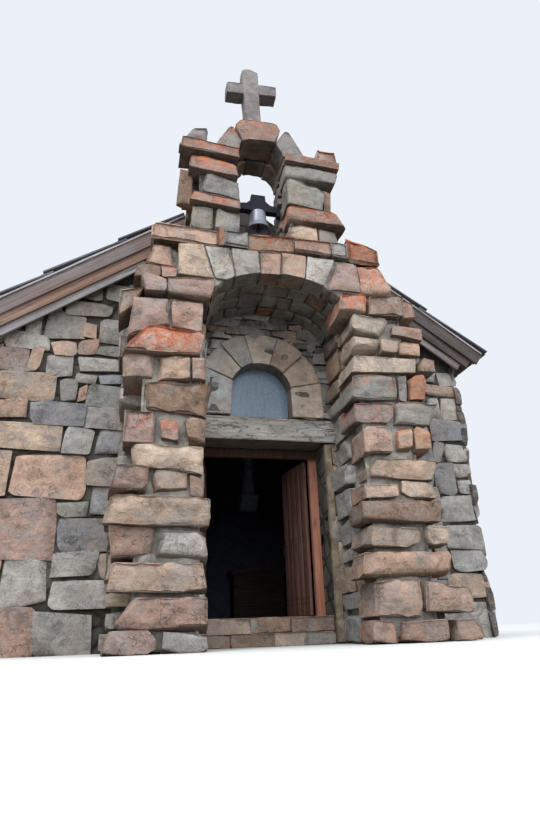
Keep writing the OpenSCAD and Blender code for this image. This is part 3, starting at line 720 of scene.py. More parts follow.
@dataclass(frozen=True)
class StoneFinish:
    """Weathered stone. Each block brings its own colour and its share of lichen."""

    name: str
    stain: Colour = (0.30, 0.27, 0.24)
    stain_share: float = 0.45
    crust_share: float = 0.25
    grey_share: float = 0.4
    bump: float = 0.8
    # How far the undersides are painted darker: painted shade under each stone
    under_shade: float = 0.35

    def material(self) -> bpy.types.Material:
        """Builds the finish.

        Returns:
            The material.
        """
        p = Paint(self.name)
        tint = p.stored("tint", "Color")
        relief = p.stored("relief")
        broad = p.noise(p.place, 2.6, 3)
        mid = p.noise(p.place, 11.0, 6, 0.62, 0.4)
        fine = p.noise(p.place, 70.0, 4, 0.7)
        beds = p.noise(p.stretched(p.place, (2.2, 2.2, 24.0)), 1.0, 5, 0.6)
        # The last factor paints the stone darker where its skin dips in: painted shade in its
        # hollows.
        colour = p.shaded(
            tint, p.span(mid, *USUAL, 0.76, 1.22), p.span(beds, 0.32, 0.68, 0.94, 1.06),
            p.span(fine, *USUAL, 0.76, 1.22), p.span(relief, 0.0, 1.0, 0.80, 1.18))
        warm = p.span(broad, 0.5, 0.68)
        patches = p.span(p.noise(p.place, 3.6, 5, 0.62, 0.7), 0.49, 0.60)
        colour = p.mixed(p.times(patches, self.grey_share), colour, (0.575, 0.56, 0.545))
        colour = p.mixed(p.times(warm, 0.25), colour, (0.62, 0.48, 0.37))
        dirt = p.times(p.noise(p.place, 5.0, 6, 0.65, 0.8), p.span(relief, 0.1, 0.8, 1.25, 0.85))
        colour = p.mixed(p.times(p.span(dirt, 0.54, 0.68), self.stain_share), colour, self.stain)
        spots = p.plus(p.cells(p.place, 26.0), p.times(mid, 0.9))
        crust = p.times(p.span(spots, 0.66, 0.58), self.crust_share)
        swirl = p.add("ShaderNodeTexNoise", {"Vector": p.place, "Scale": 6.0, "Detail": 3.0})
        bent = p.add("ShaderNodeVectorMath", {0: p.place, 1: swirl.outputs["Color"]},
                     operation="ADD").outputs["Vector"]
        crack = p.times(p.span(p.cells(bent, 3.1, "DISTANCE_TO_EDGE"), 0.0, 0.016, 1.0, 0.0),
                        p.span(p.noise(p.place, 4.2, 3), 0.52, 0.60))
        colour = p.mixed(p.times(crack, 0.35), colour, (0.17, 0.15, 0.13))
        # Undersides are painted a dark brown: painted shade under each stone.
        under_shade = p.span(p.stored("under"), 0.35, 0.9, 0.0, self.under_shade)
        colour = p.mixed(under_shade, colour, (0.20, 0.18, 0.14))
        colour = p.mixed(crust, colour, (0.76, 0.75, 0.70))
        cover = p.plus(p.noise(p.place, 9.0, 8, 0.72, 0.9), p.times(p.stored("lichen"), 0.42))
        cover = p.minus(cover, p.times(p.cells(p.place, 42.0), 0.14))
        orange = p.mixed(p.span(mid, 0.4, 0.62), (0.78, 0.46, 0.31), (0.62, 0.34, 0.25))
        colour = p.mixed(p.times(p.span(cover, 0.62, 0.73), 0.8), colour, orange)
        height = p.plus(p.times(mid, 0.9), p.times(beds, 0.2))
        height = p.minus(p.plus(height, p.times(fine, 0.22)), p.times(crack, 0.5))
        return p.done(colour, p.span(mid, *USUAL, 0.82, 0.95), p.dented(height, self.bump, 0.03),
                      Specular_IOR_Level=0.25)


# Where the painted shade of the room begins: along Y at its front and its rear, and across
ROOM_FRONT = (-1.95, -1.6)
ROOM_REAR = (2.80, 2.70)
ROOM_HALF = (2.50, 2.40)


@dataclass(frozen=True)
class MortarFinish:
    """Gritty mortar with the wall's rubble core showing through, and painted shade indoors."""

    name: str
    colour: Colour
    pale: Colour
    stones: float = 0.55
    # How far the mortar in the room is painted towards a dark blue: painted shade indoors
    inside: float = 0.75

    def material(self) -> bpy.types.Material:
        """Builds the finish.

        Returns:
            The material.
        """
        p = Paint(self.name)
        loose = p.stretched(p.place, (2.6, 2.6, 4.4))
        rubble = p.cells(loose, 1.0, "DISTANCE_TO_EDGE")
        parts = p.add("ShaderNodeSeparateColor", {0: p.cells(loose, 1.0, "F1", "Color")}).outputs
        stones = p.mixed(parts[0], (0.42, 0.42, 0.40), (0.60, 0.58, 0.54))
        grit = p.noise(p.place, 120.0, 3, 0.75)
        patch = p.noise(p.place, 6.0, 5, 0.6, 0.5)
        mortar = p.mixed(p.span(patch, 0.4, 0.62), self.colour, self.pale)
        mortar = p.shaded(mortar, p.span(grit, *USUAL, 0.7, 1.2))
        colour = p.mixed(p.span(rubble, 0.04, 0.09, 0.0, self.stones), mortar, stones)
        height = p.plus(p.times(p.span(rubble, 0.0, 0.14), 1.8 * self.stones), p.times(grit, 0.3))
        # Inside the room the mortar is painted darker and bluer: painted shade indoors.
        spot = p.axes(p.place)
        room_shade = p.times(p.span(spot[1], *ROOM_FRONT), p.span(spot[1], *ROOM_REAR))
        across = p.sums("ABSOLUTE", spot[0])
        room_shade = p.times(room_shade, p.span(across, *ROOM_HALF, 0.0, self.inside))
        colour = p.mixed(room_shade, colour, (0.25, 0.27, 0.36))
        return p.done(colour, 0.95, p.dented(height, 0.6, 0.02), Specular_IOR_Level=0.2)


@dataclass(frozen=True)
class WoodFinish:
    """Weathered wood. The grain runs along the first value of its coordinates."""

    name: str
    dark: Colour
    light: Colour
    grey: Colour
    greying: float
    stored_grain: bool = True
    along: int = 1
    # Height over which the wood is painted darker: painted shade under the lintel
    shade_from: float = 99.0
    hewn: bool = False
    relief: float = 0.006

    def material(self) -> bpy.types.Material:
        """Builds the finish.

        Returns:
            The material.
        """
        p = Paint(self.name)
        if self.stored_grain:
            tone = p.stored("tone")
            shift = p.add("ShaderNodeVectorMath", {0: (31.7, 17.3, 23.9), "Scale": tone},
                          operation="SCALE").outputs["Vector"]
            grain = p.add("ShaderNodeVectorMath", {0: p.stored("grain", "Vector"), 1: shift},
                          operation="ADD").outputs["Vector"]
        else:
            tone = p.noise(p.place, 0.8, 1)
            parts = p.axes(p.place)
            order = [self.along, (self.along + 1) % 3, (self.along + 2) % 3]
            grain = p.add("ShaderNodeCombineXYZ",
                          {i: parts[axis] for i, axis in enumerate(order)}).outputs[0]
        streaks = p.noise(p.stretched(grain, (1.3, 34.0, 34.0)), 1.0, 5, 0.62, 0.3)
        fibres = p.noise(p.stretched(grain, (5.0, 190.0, 190.0)), 1.0, 3, 0.6)
        rings = p.noise(p.stretched(grain, (0.7, 11.0, 11.0)), 1.0, 2, 0.5, 1.2)
        weather = p.noise(p.stretched(grain, (1.6, 6.0, 6.0)), 1.0, 4)
        slit = p.noise(p.stretched(grain, (0.8, 26.0, 26.0)), 1.0, 2, 0.4)
        slit = p.span(p.sums("ABSOLUTE", p.minus(slit, 0.5)), 0.004, 0.016, 1.0, 0.0)
        slit = p.times(slit, p.span(weather, 0.46, 0.56))
        knot = p.span(p.cells(p.stretched(grain, (1.7, 7.0, 7.0)), 1.0), 0.05, 0.12, 1.0, 0.0)
        colour = p.mixed(p.span(streaks, 0.34, 0.66), self.dark, self.light)
        colour = p.mixed(p.times(p.span(rings, 0.42, 0.6), 0.4), colour, self.dark)
        colour = p.mixed(p.times(p.span(weather, 0.36, 0.62), self.greying), colour, self.grey)
        height = p.plus(p.times(streaks, 0.7), p.times(fibres, 0.25))
        height = p.minus(height, p.times(slit, 0.9))
        if self.hewn:
            # The underside is painted a darker brown: partly the brown of wood that the weather
            # has not greyed, partly painted shade under the beam.
            warm = p.span(p.stored("under"), 0.3, 0.8, 0.0, 0.75)
            colour = p.mixed(warm, colour, (0.38, 0.28, 0.22))
            # Flakes are hollowed out and painted darker: painted shade in their hollows.
            flakes = p.noise(p.stretched(p.place, (6.5, 15.0, 21.0)), 1.0, 4, 0.55, 1.4)
            flakes = p.span(flakes, 0.56, 0.63)
            colour = p.mixed(p.times(flakes, 0.55), colour, (0.27, 0.25, 0.23))
            height = p.minus(height, p.times(flakes, 1.2))
        colour = p.mixed(p.times(knot, 0.55), colour, (0.22, 0.15, 0.11))
        colour = p.mixed(p.times(slit, 0.8), colour, (0.10, 0.08, 0.07))
        # Above that height the wood is painted darker: painted shade under the lintel.
        shade = p.span(p.axes(p.place)[2], self.shade_from, self.shade_from + 0.06, 1.0, 0.12)
        colour = p.shaded(colour, p.span(fibres, *USUAL, 0.84, 1.12),
                          p.span(tone, 0.0, 1.0, 0.8, 1.18), shade)
        return p.done(colour, p.span(streaks, *USUAL, 0.92, 0.72),
                      p.dented(height, 0.5, self.relief), Specular_IOR_Level=0.3)


@dataclass(frozen=True)
class MetalFinish:
    """Cast or wrought metal with a weathered skin."""

    name: str
    metal: Colour
    skin: Colour
    skin_share: float
    rough: float
    metallic: float

    def material(self) -> bpy.types.Material:
        """Builds the finish.

        Returns:
            The material.
        """
        p = Paint(self.name)
        patch = p.noise(p.place, 16.0, 6, 0.65, 0.4)
        fine = p.noise(p.place, 140.0, 3, 0.6)
        worn = p.times(p.span(patch, 0.42, 0.62), self.skin_share)
        colour = p.shaded(p.mixed(worn, self.metal, self.skin), p.span(fine, *USUAL, 0.82, 1.16))
        rough = p.span(patch, *USUAL, self.rough - 0.1, self.rough + 0.22)
        height = p.plus(p.times(patch, 0.6), p.times(fine, 0.25))
        return p.done(colour, rough, p.dented(height, 0.35, 0.004), Metallic=self.metallic)


@dataclass(frozen=True)
class PaneFinish:
    """Cloudy glass with rain streaks, lighter towards its foot."""

    name: str = "cloudy_pane"
    deep: Colour = (0.27, 0.35, 0.42)
    bright: Colour = (0.45, 0.53, 0.60)
    levels: Pair = (2.62, 3.35)

    def material(self) -> bpy.types.Material:
        """Builds the finish.

        Returns:
            The material.
        """
        p = Paint(self.name)
        streaks = p.noise(p.stretched(p.place, (46.0, 46.0, 1.6)), 1.0, 4, 0.6)
        cloud = p.noise(p.place, 3.2, 3)
        fade = p.span(p.axes(p.place)[2], *self.levels, 0.55, 0.05)
        blotch = p.noise(p.place, 42.0, 5, 0.7, 0.6)
        share = p.plus(p.times(p.span(streaks, 0.34, 0.68), 0.10), fade)
        share = p.plus(share, p.span(blotch, 0.36, 0.64, -0.05, 0.4))
        colour = p.mixed(share, self.deep, self.bright)
        colour = p.shaded(colour, p.span(cloud, *USUAL, 0.9, 1.1))
        return p.done(colour, p.span(streaks, *USUAL, 0.22, 0.42), p.dented(streaks, 0.1, 0.002),
                      Coat_Weight=0.3, Coat_Roughness=0.15)


class Finishes:
    """All the finishes of the building, each built once."""

    def __init__(self) -> None:
        """Builds the materials."""
        self.walling = StoneFinish("wall_stone", crust_share=0.3, grey_share=0.6,
                                   bump=1.0).material()
        self.porch = StoneFinish("porch_stone", crust_share=0.2, grey_share=0.5,
                                 bump=1.0).material()
        self.cut = StoneFinish("cut_stone", stain_share=0.3, crust_share=0.12, bump=0.5,
                               under_shade=0.2).material()
        self.arch = StoneFinish("arch_stone", stain_share=0.5, crust_share=0.2,
                                under_shade=0.12).material()
        self.joints = MortarFinish("dark_joints", (0.18, 0.17, 0.16), (0.29, 0.275, 0.255),
                                   0.25).material()
        self.plaster = MortarFinish("rough_plaster", (0.44, 0.385, 0.32), (0.62, 0.57, 0.50),
                                    0.0).material()
        self.mortar = MortarFinish("pale_mortar", (0.47, 0.46, 0.44), (0.68, 0.66, 0.63),
                                   0.15).material()
        self.roofing = WoodFinish("roofing_wood", (0.25, 0.24, 0.26), (0.38, 0.37, 0.39),
                                  (0.44, 0.45, 0.49), 0.7).material()
        self.deck = WoodFinish("deck_wood", (0.23, 0.17, 0.14), (0.38, 0.30, 0.25),
                               (0.36, 0.33, 0.31), 0.5).material()
        self.verge = WoodFinish("verge_wood", (0.36, 0.31, 0.30), (0.51, 0.45, 0.43),
                                (0.53, 0.51, 0.52), 0.6).material()
        self.verge_warm = WoodFinish("verge_wood_warm", (0.40, 0.30, 0.25), (0.55, 0.43, 0.37),
                                     (0.52, 0.47, 0.45), 0.35).material()
        self.verge_pale = WoodFinish("verge_wood_pale", (0.46, 0.44, 0.43), (0.62, 0.60, 0.60),
                                     (0.66, 0.65, 0.66), 0.6).material()
        self.verge_dark = WoodFinish("verge_wood_dark", (0.25, 0.22, 0.21), (0.38, 0.34, 0.32),
                                     (0.42, 0.40, 0.40), 0.5).material()
        self.lintel = WoodFinish("lintel_wood", (0.45, 0.42, 0.39), (0.73, 0.71, 0.68),
                                 (0.77, 0.765, 0.745), 0.65, False, 0, hewn=True,
                                 relief=0.03).material()
        self.door = WoodFinish("door_wood", (0.31, 0.19, 0.16), (0.53, 0.36, 0.30),
                               (0.49, 0.41, 0.39), 0.5).material()
        # The frame is painted darker over 2.14 m: painted shade under the lintel.
        self.frame = WoodFinish("frame_wood", (0.58, 0.37, 0.29), (0.78, 0.55, 0.46),
                                (0.69, 0.57, 0.51), 0.35, False, 2, 2.14).material()
        self.beams = WoodFinish("beam_wood", (0.25, 0.18, 0.14), (0.38, 0.29, 0.23),
                                (0.36, 0.32, 0.29), 0.5, False).material()
        self.altar = WoodFinish("altar_wood", (0.16, 0.13, 0.13), (0.30, 0.24, 0.22),
                                (0.34, 0.30, 0.30), 0.3, False, 0).material()
        self.iron = MetalFinish("black_iron", (0.11, 0.11, 0.12), (0.28, 0.17, 0.12), 0.5,
                                0.55, 0.7).material()
        self.yoke = MetalFinish("blue_black_iron", (0.08, 0.09, 0.15), (0.15, 0.14, 0.16), 0.5,
                                0.5, 0.5).material()
        self.bronze = MetalFinish("dull_bronze", (0.64, 0.66, 0.70), (0.46, 0.50, 0.53), 0.6,
                                  0.36, 0.6).material()
        self.pane = PaneFinish().material()


# Wood

class Carpentry(Mould):
    """Boards and beams gathered into one piece, each with its own grain."""

    def board(self, start: Vector, along: Vector, across: Vector, length: float, wide: float,
              thick: float, warp: float = 0.004, edge: float = 0.004, cell: float = 0.12) -> None:
        """Fixes one board.

        Args:
            start: The middle of the board's first end.
            along: The direction of its length.
            across: The direction of its width.
            length: Its length.
            wide: Its width.
            thick: Its thickness.
            warp: How far it is bent and worn.
            edge: Radius of its edges.
            cell: Spacing of its points.
        """
        half = np.array([length, wide, thick]) / 2
        points, facing, quads = worn_block(half, edge, cell)
        where = points + self.rng.uniform(-FIELD, FIELD, 3)
        pattern = int(self.rng.integers(1, 10000))
        bend = lattice_noise(where * (1.2, 0.4, 0.4), pattern) * warp
        wear = (lattice_noise(where * (9, 30, 30), pattern + 1) - 1) * warp * 0.35
        points = points + facing * wear[:, None]
        points[:, 2] += bend
        points[:, 1] += lattice_noise(where * (1.5, 0.2, 0.2), pattern + 2) * warp * 0.6
        points[:, 0] += half[0]
        a, b = np.array(along.normalized()), np.array(across.normalized())
        basis = np.stack([a, b, np.cross(a, b)])
        self.gather(np.array(start) + points @ basis, quads, grain=where,
                    tone=np.full(len(points), self.rng.uniform(0, 1)))


class Row:
    """A geometry tree that repeats its object's own mesh along a line, each copy a little off."""

    INPUTS = (("Count", "NodeSocketInt"), ("Step", "NodeSocketVector"),
              ("Spread", "NodeSocketVector"), ("Sway", "NodeSocketVector"),
              ("Place", "NodeSocketVector"), ("Turn", "NodeSocketVector"),
              ("Seed", "NodeSocketInt"), ("Finish", "NodeSocketMaterial"))

    def __init__(self) -> None:
        """Builds the tree and notes the identifier of each input."""
        self.tree = bpy.data.node_groups.new("row_of_copies", "GeometryNodeTree")
        face = self.tree.interface
        face.new_socket("Geometry", in_out="INPUT", socket_type="NodeSocketGeometry")
        self.keys = {name: face.new_socket(name, in_out="INPUT", socket_type=kind).identifier
                     for name, kind in self.INPUTS}
        face.new_socket("Geometry", in_out="OUTPUT", socket_type="NodeSocketGeometry")
        g = Graph(self.tree)
        given = g.add("NodeGroupInput").outputs
        line = g.add("GeometryNodeMeshLine", {"Count": given["Count"], "Offset": given["Step"]})
        off = self.random_vector(g, given["Spread"], given["Seed"])
        points = g.add("GeometryNodeSetPosition", {"Geometry": line.outputs[0], "Offset": off})
        other = g.add("ShaderNodeMath", {0: given["Seed"], 1: 7.0}).outputs[0]
        sway = self.random_vector(g, given["Sway"], other)
        copies = g.add("GeometryNodeInstanceOnPoints", {
            "Points": points.outputs[0], "Instance": given["Geometry"], "Rotation": sway})
        tone = g.add("FunctionNodeRandomValue", {"Seed": given["Seed"]}, data_type="FLOAT")
        named = g.add("GeometryNodeStoreNamedAttribute", {
            "Geometry": copies.outputs[0], "Name": "tone", "Value": tone.outputs[1]},
            data_type="FLOAT", domain="INSTANCE")
        placed = g.add("GeometryNodeTransform", {
            "Geometry": named.outputs[0], "Translation": given["Place"],
            "Rotation": given["Turn"]})
        real = g.add("GeometryNodeRealizeInstances", {"Geometry": placed.outputs[0]})
        done = g.add("GeometryNodeSetMaterial", {
            "Geometry": real.outputs[0], "Material": given["Finish"]})
        g.add("NodeGroupOutput", {0: done.outputs[0]})

    @staticmethod
    def random_vector(g: Graph, size: Socket, seed: Socket) -> Socket:
        """A random vector.

        Args:
            g: The tree.
            size: How far it reaches each way, to both sides.
            seed: Picks it.

        Returns:
            The vector.
        """
        low = g.add("ShaderNodeVectorMath", {0: size, "Scale": -1.0}, operation="SCALE")
        node = g.add("FunctionNodeRandomValue",
                     {"Min": low.outputs["Vector"], "Max": size, "Seed": seed},
                     data_type="FLOAT_VECTOR")
        return node.outputs[0]

    def repeat(self, source: bpy.types.Object, **values) -> bpy.types.Mesh:
        """Repeats an object.

        Args:
            source: The object to copy, which is removed.
            values: The tree's inputs, by name in lower case.

        Returns:
            The mesh of all the copies.
        """
        modifier = source.modifiers.new("row", "NODES")
        modifier.node_group = self.tree
        for name, key in self.keys.items():
            if name.lower() in values:
                modifier[key] = values[name.lower()]
        bpy.context.view_layer.update()
        seen = source.evaluated_get(bpy.context.evaluated_depsgraph_get())
        mesh = bpy.data.meshes.new_from_object(seen)
        source.modifiers.remove(modifier)
        bpy.data.objects.remove(source)
        return mesh


def joined(name: str, meshes: Sequence[bpy.types.Mesh]) -> bpy.types.Object:
    """Joins meshes that are already in place.

    Args:
        name: The name of the whole.
        meshes: The meshes.

    Returns:
        The object that holds them all.
    """
    things = []
    for mesh in meshes:
        thing = bpy.data.objects.new(name, mesh)
        bpy.context.scene.collection.objects.link(thing)
        things.append(thing)
    with bpy.context.temp_override(active_object=things[0], selected_objects=things,
                                   selected_editable_objects=things):
        bpy.ops.object.join()
    things[0].name = name
    return things[0]


# Sizes shared by the sub-assemblies

@dataclass(frozen=True)
class Plan:
    """Levels and faces of the building, in metres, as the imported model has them."""

    half: float = 2.88
    front: float = -2.41
    rear: float = 3.19
    porch: float = -3.43
    ground: float = 0.0
    lintel_foot: float = 2.30
    lintel_head: float = 2.62
    spring: float = 3.63
    coping: float = 4.33
    bell_floor: float = 4.56
    bell_spring: float = 5.75
    gable_back: float = -2.77
    door_x: float = 0.17
    door_half: float = 0.78
    porch_x: float = 0.21
    porch_half: float = 0.825
    pier_wide: float = 0.93
    bell_x: float = 0.05
    pitch: float = math.radians(35.6)
    under_apex: float = 5.86

    @property
    def cos(self) -> float:
        """Cosine of the roof's pitch."""
        return math.cos(self.pitch)

    @property
    def sin(self) -> float:
        """Sine of the roof's pitch."""
        return math.sin(self.pitch)

    def under_roof(self, x: float) -> float:
        """Height of the wall's head under the roof at a distance from the middle."""
        return self.under_apex - abs(x) * math.tan(self.pitch)


PLAN = Plan()


def settle(piece: bpy.types.Object, body: str, slot: str, *nodes: str) -> None:
    """Tells the frame where a piece belongs.

    Args:
        piece: The piece.
        body: The body that carries it.
        slot: Not used.
        nodes: The nodes that it stands for.
    """
    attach(piece, body)
    if nodes:
        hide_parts(*nodes)
    LOG.info("%s: %d faces on %s", piece.name, len(piece.data.polygons), body)


def paint_node(name: str, material: bpy.types.Material) -> None:
    """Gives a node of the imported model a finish.

    Args:
        name: The node's name.
        material: The finish.
    """
    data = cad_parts[name].data
    if not data.materials:
        data.materials.append(material)
    for i in range(len(data.materials)):
        data.materials[i] = material


# Walls

@dataclass(frozen=True)
class Laid:
    """A stone of a wall at its own place, in centimetres: its ends, bed, head and colour."""

    left: int
    right: int
    bed: int
    head: int
    tint: Tint


@dataclass
class Rubble:
    """Rubble walling: stones in broken courses, each laid on the lowest place that is free."""

    # How far a corner may be out of true
    OFF_TRUE = 0.034
    # The least height that is filled, and the step up to which two courses are made level
    LEAST, LEVELLED = 0.05, 0.06
    # Stones under this width are low ones
    NARROW = 0.22
    # What counts as no length at all
    NOTHING = 1e-6

    masonry: Masonry
    side: Side
    near: float
    deep: float = 0.11
    wide: Pair = (0.20, 0.62)
    high: Pair = (0.13, 0.31)
    tints: tuple[Tint, ...] = (Tint.GREY, Tint.GREY, Tint.PALE, Tint.BLUE, Tint.GREEN, Tint.TAN,
                               Tint.ROSE, Tint.GREY, Tint.BLUE)
    dressing: Dressing = WALLING

    def stone(self, left: float, right: float, bed: float, head: Pair, tint: Tint) -> None:
        """Lays one stone with its corners a little out of true.

        Args:
            left: Its left end.
            right: Its right end.
            bed: Its foot.
            head: The height of its head at both ends.
            tint: Its colour.
        """
        rng = self.masonry.rng
        off = rng.uniform(-self.OFF_TRUE, self.OFF_TRUE, 8)
        face = four((left + off[0], bed + off[1]), (right + off[2], bed + off[3]),
                    (right + off[4], head[1] + off[5]), (left + off[6], head[0] + off[7]))
        out = self.near - rng.uniform(-0.012, 0.02)
        self.masonry.lay(face, out, self.near + self.deep, tint, self.dressing, side=self.side)

    def schedule(self, stones: Sequence[Laid]) -> None:
        """Lays stones at the places that a schedule gives.

        Args:
            stones: The schedule.
        """
        for one in stones:
            left, right, bed, head = (c / 100 for c in (one.left, one.right, one.bed, one.head))
            self.stone(left, right, bed, (head, head), one.tint)

    @staticmethod
    def clipped(left: float, right: float, level: float, head: Callable[[float], float]) -> Pair:
        """Pulls in an end of a stone to where the wall's head clears a level.

        Args:
            left: The stone's left end.
            right: Its right end.
            level: The level.
            head: The height of the wall's head at a place along it.

        Returns:
            The two ends.
        """
        at_left, at_right = head(left), head(right)
        if at_left < level < at_right:
            left = right - (right - left) * (at_right - level) / (at_right - at_left)
        elif at_right < level < at_left:
            right = left + (right - left) * (at_left - level) / (at_left - at_right)
        return left, right

    def fill(self, left: float, right: float, foot: float, head: Callable[[float], float]) -> None:
        """Fills a stretch of wall.

        Args:
            left: Where it starts.
            right: Where it ends.
            foot: Its foot.
            head: The height of its head at a place along it.
        """
        rng = self.masonry.rng
        tops = [[left, right, foot]]
        while True:
            live = [top for top in tops if top[2] < max(head(top[0]), head(top[1])) - self.LEAST]
            if not live:
                return
            start, end, bed = lowest = min(live, key=lambda top: top[2])
            at = tops.index(lowest)
            room = end - start
            wide = rng.uniform(*self.wide)
            if room < wide + 0.7 * self.wide[0]:
                wide = room if room < 1.25 * self.wide[1] else room / 2
            high = rng.uniform(*self.high) * (0.75 if wide < self.NARROW else 1.0)
            for level in [tops[i][2] for i in (at - 1, at + 1) if 0 <= i < len(tops)]:
                if abs(bed + high - level) < self.LEVELLED:
                    high = level - bed
            if max(head(start), head(start + wide)) > bed + self.LEAST:
                near, far = self.clipped(start, start + wide, bed + 0.03, head)
                heads = (min(bed + high, head(near)), min(bed + high, head(far)))
                self.stone(near, far, bed, heads, self.tints[rng.integers(len(self.tints))])
            rest = [[start, start + wide, bed + high]]
            if wide < room - self.NOTHING:
                rest.append([start + wide, end, bed])
            tops[at:at + 1] = rest
            for i in range(len(tops) - 1, 0, -1):
                if abs(tops[i][2] - tops[i - 1][2]) < self.NOTHING:
                    tops[i - 1][1] = tops[i][1]
                    del tops[i]


@dataclass
class Walls:
    """The rubble walls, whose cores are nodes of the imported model."""

    finishes: Finishes
    plan: Plan = PLAN
    # How far the stones stand out of the core, and how deep the doorway's stones go into it
    lift: float = 0.068
    reveal: float = 0.325
    # How far the smaller stones go on past the doorway's sides
    past: float = 0.26
    # Half of the width that the window's ring fills, and the level over which it is walled up
    ring_half: float = 0.41
    ring_top: float = 3.40
    # The ends of the stones that the porch hides, beside it and over it
    hidden: Pair = (-1.50, 2.40)
    gable: Pair = (-2.30, 2.42)
    left_front: tuple[Laid, ...] = (
        Laid(-294, -220, 0, 48, Tint.ROSE), Laid(-220, -162, 0, 40, Tint.PALE),
        Laid(-294, -258, 48, 94, Tint.TAN), Laid(-258, -210, 48, 92, Tint.PALE),
        Laid(-210, -145, 40, 74, Tint.PALE), Laid(-210, -166, 75, 99, Tint.PALE),
        Laid(-166, -138, 75, 99, Tint.TAN), Laid(-294, -208, 94, 155, Tint.ROSE),
        Laid(-206, -150, 100, 137, Tint.BLUE), Laid(-208, -180, 138, 155, Tint.GREEN),
        Laid(-179, -148, 140, 169, Tint.GREY), Laid(-294, -260, 156, 206, Tint.TAN),
        Laid(-258, -184, 156, 206, Tint.PINK), Laid(-183, -146, 171, 204, Tint.GREY),
        Laid(-294, -213, 208, 242, Tint.BEIGE), Laid(-212, -178, 206, 238, Tint.PALE),
        Laid(-177, -144, 206, 234, Tint.BLUE), Laid(-294, -251, 244, 267, Tint.PINK),
        Laid(-250, -191, 240, 268, Tint.BLUE), Laid(-190, -140, 236, 260, Tint.GREY),
        Laid(-294, -222, 269, 300, Tint.TAN), Laid(-221, -200, 269, 295, Tint.GREY),
        Laid(-199, -191, 269, 288, Tint.ROSE), Laid(-190, -140, 262, 288, Tint.GREEN),
        Laid(-294, -258, 301, 331, Tint.MAUVE), Laid(-257, -242, 301, 330, Tint.TAN),
        Laid(-241, -206, 297, 325, Tint.GREY), Laid(-205, -179, 294, 306, Tint.GREY),
        Laid(-178, -140, 294, 305, Tint.BLUE), Laid(-204, -152, 307, 327, Tint.PALE),
        Laid(-288, -235, 332, 352, Tint.PALE), Laid(-234, -207, 326, 345, Tint.PINK),
        Laid(-206, -182, 328, 348, Tint.ROSE), Laid(-181, -146, 328, 344, Tint.GREEN),
        # The dark stone high up at the wall's left end is tinted dark: painted shade on it.
        Laid(-286, -268, 354, 370, Tint.DARK), Laid(-266, -248, 354, 374, Tint.PALE),
        Laid(-247, -200, 347, 384, Tint.GREY), Laid(-199, -184, 350, 372, Tint.TAN),
        Laid(-183, -148, 346, 378, Tint.GREY), Laid(-242, -226, 385, 398, Tint.TAN),
        Laid(-224, -166, 380, 402, Tint.GREY), Laid(-206, -180, 404, 420, Tint.GREEN),
        Laid(-179, -145, 404, 434, Tint.PALE))
    # The stones at the corner to the right of the porch
    right_front: tuple[Laid, ...] = (
        Laid(220, 294, 0, 42, Tint.PALE), Laid(236, 294, 43, 74, Tint.TAN),
        Laid(246, 294, 75, 99, Tint.PALE), Laid(242, 294, 100, 133, Tint.PALE),
        Laid(244, 294, 134, 167, Tint.PALE), Laid(242, 268, 168, 212, Tint.GREY),
        Laid(269, 294, 169, 191, Tint.PALE), Laid(269, 294, 192, 211, Tint.PALE),
        Laid(242, 257, 213, 237, Tint.GREY), Laid(258, 294, 213, 238, Tint.PALE),
        Laid(240, 294, 239, 269, Tint.BLUE), Laid(240, 262, 270, 299, Tint.PALE),
        Laid(263, 294, 270, 299, Tint.PALE), Laid(242, 294, 301, 320, Tint.PINK),
        Laid(242, 262, 321, 344, Tint.PALE), Laid(263, 294, 321, 340, Tint.PALE))

    def build(self) -> None:
        """Lays the stones of all four walls and paints their cores."""
        p = self.plan
        self.front()
        self.turned("left_wall_stones", 11, Side.LEFT, -p.half, -p.rear, -p.front)
        self.turned("right_wall_stones", 12, Side.RIGHT, -p.half, p.front, p.rear)
        rear = Masonry("rear_wall_stones", 13)
        walling = Rubble(rear, Side.REAR, -p.rear - self.lift, dressing=FAR_WALLING)
        walling.fill(-p.half - self.lift, p.half + self.lift, p.ground, p.under_roof)
        rear.settle(self.finishes.walling, "rubble_stone")
        for node in ("front_wall_left", "front_wall_right", "front_gable", "side_wall_left",
                     "side_wall_right", "rear_wall"):
            paint_node(node, self.finishes.joints)

    def turned(self, name: str, seed: int, side: Side, face: float, start: float,
               end: float) -> None:
        """Lays a side wall, which reaches up to the underside of the roof.

        Args:
            name: The piece's name.
            seed: Picks its random numbers.
            side: The side of the building.
            face: The depth of the core's face, before the wall is turned.
            start: Where the wall starts.
            end: Where it ends.
        """
        masonry = Masonry(name, seed)
        head = self.plan.under_roof(self.plan.half)
        walling = Rubble(masonry, side, face - self.lift, dressing=FAR_WALLING)
        walling.fill(start - self.lift, end + self.lift, self.plan.ground, lambda _: head)
        masonry.settle(self.finishes.walling, "rubble_stone")

    def front(self) -> None:
        """Lays the front wall round the doorway and the window."""
        p = self.plan
        near = p.front - self.lift
        wall = Masonry("front_wall_stones", 10, 1.01)
        walling = Rubble(wall, Side.FRONT, near)
        walling.schedule(self.left_front)
        walling.schedule(self.right_front)
        left, right = p.door_x - p.door_half, p.door_x + p.door_half
        start, end = left - self.past, right + self.past
        hidden = Rubble(wall, Side.FRONT, near, wide=(0.24, 0.5), high=(0.18, 0.34),
                        dressing=FAR_WALLING)
        hidden.fill(self.hidden[0], start, p.ground, lambda _: p.coping)
        hidden.fill(end, self.hidden[1], p.ground, lambda x: min(p.coping, p.under_roof(x)))
        hidden.fill(*self.gable, p.coping + 0.02, p.under_roof)
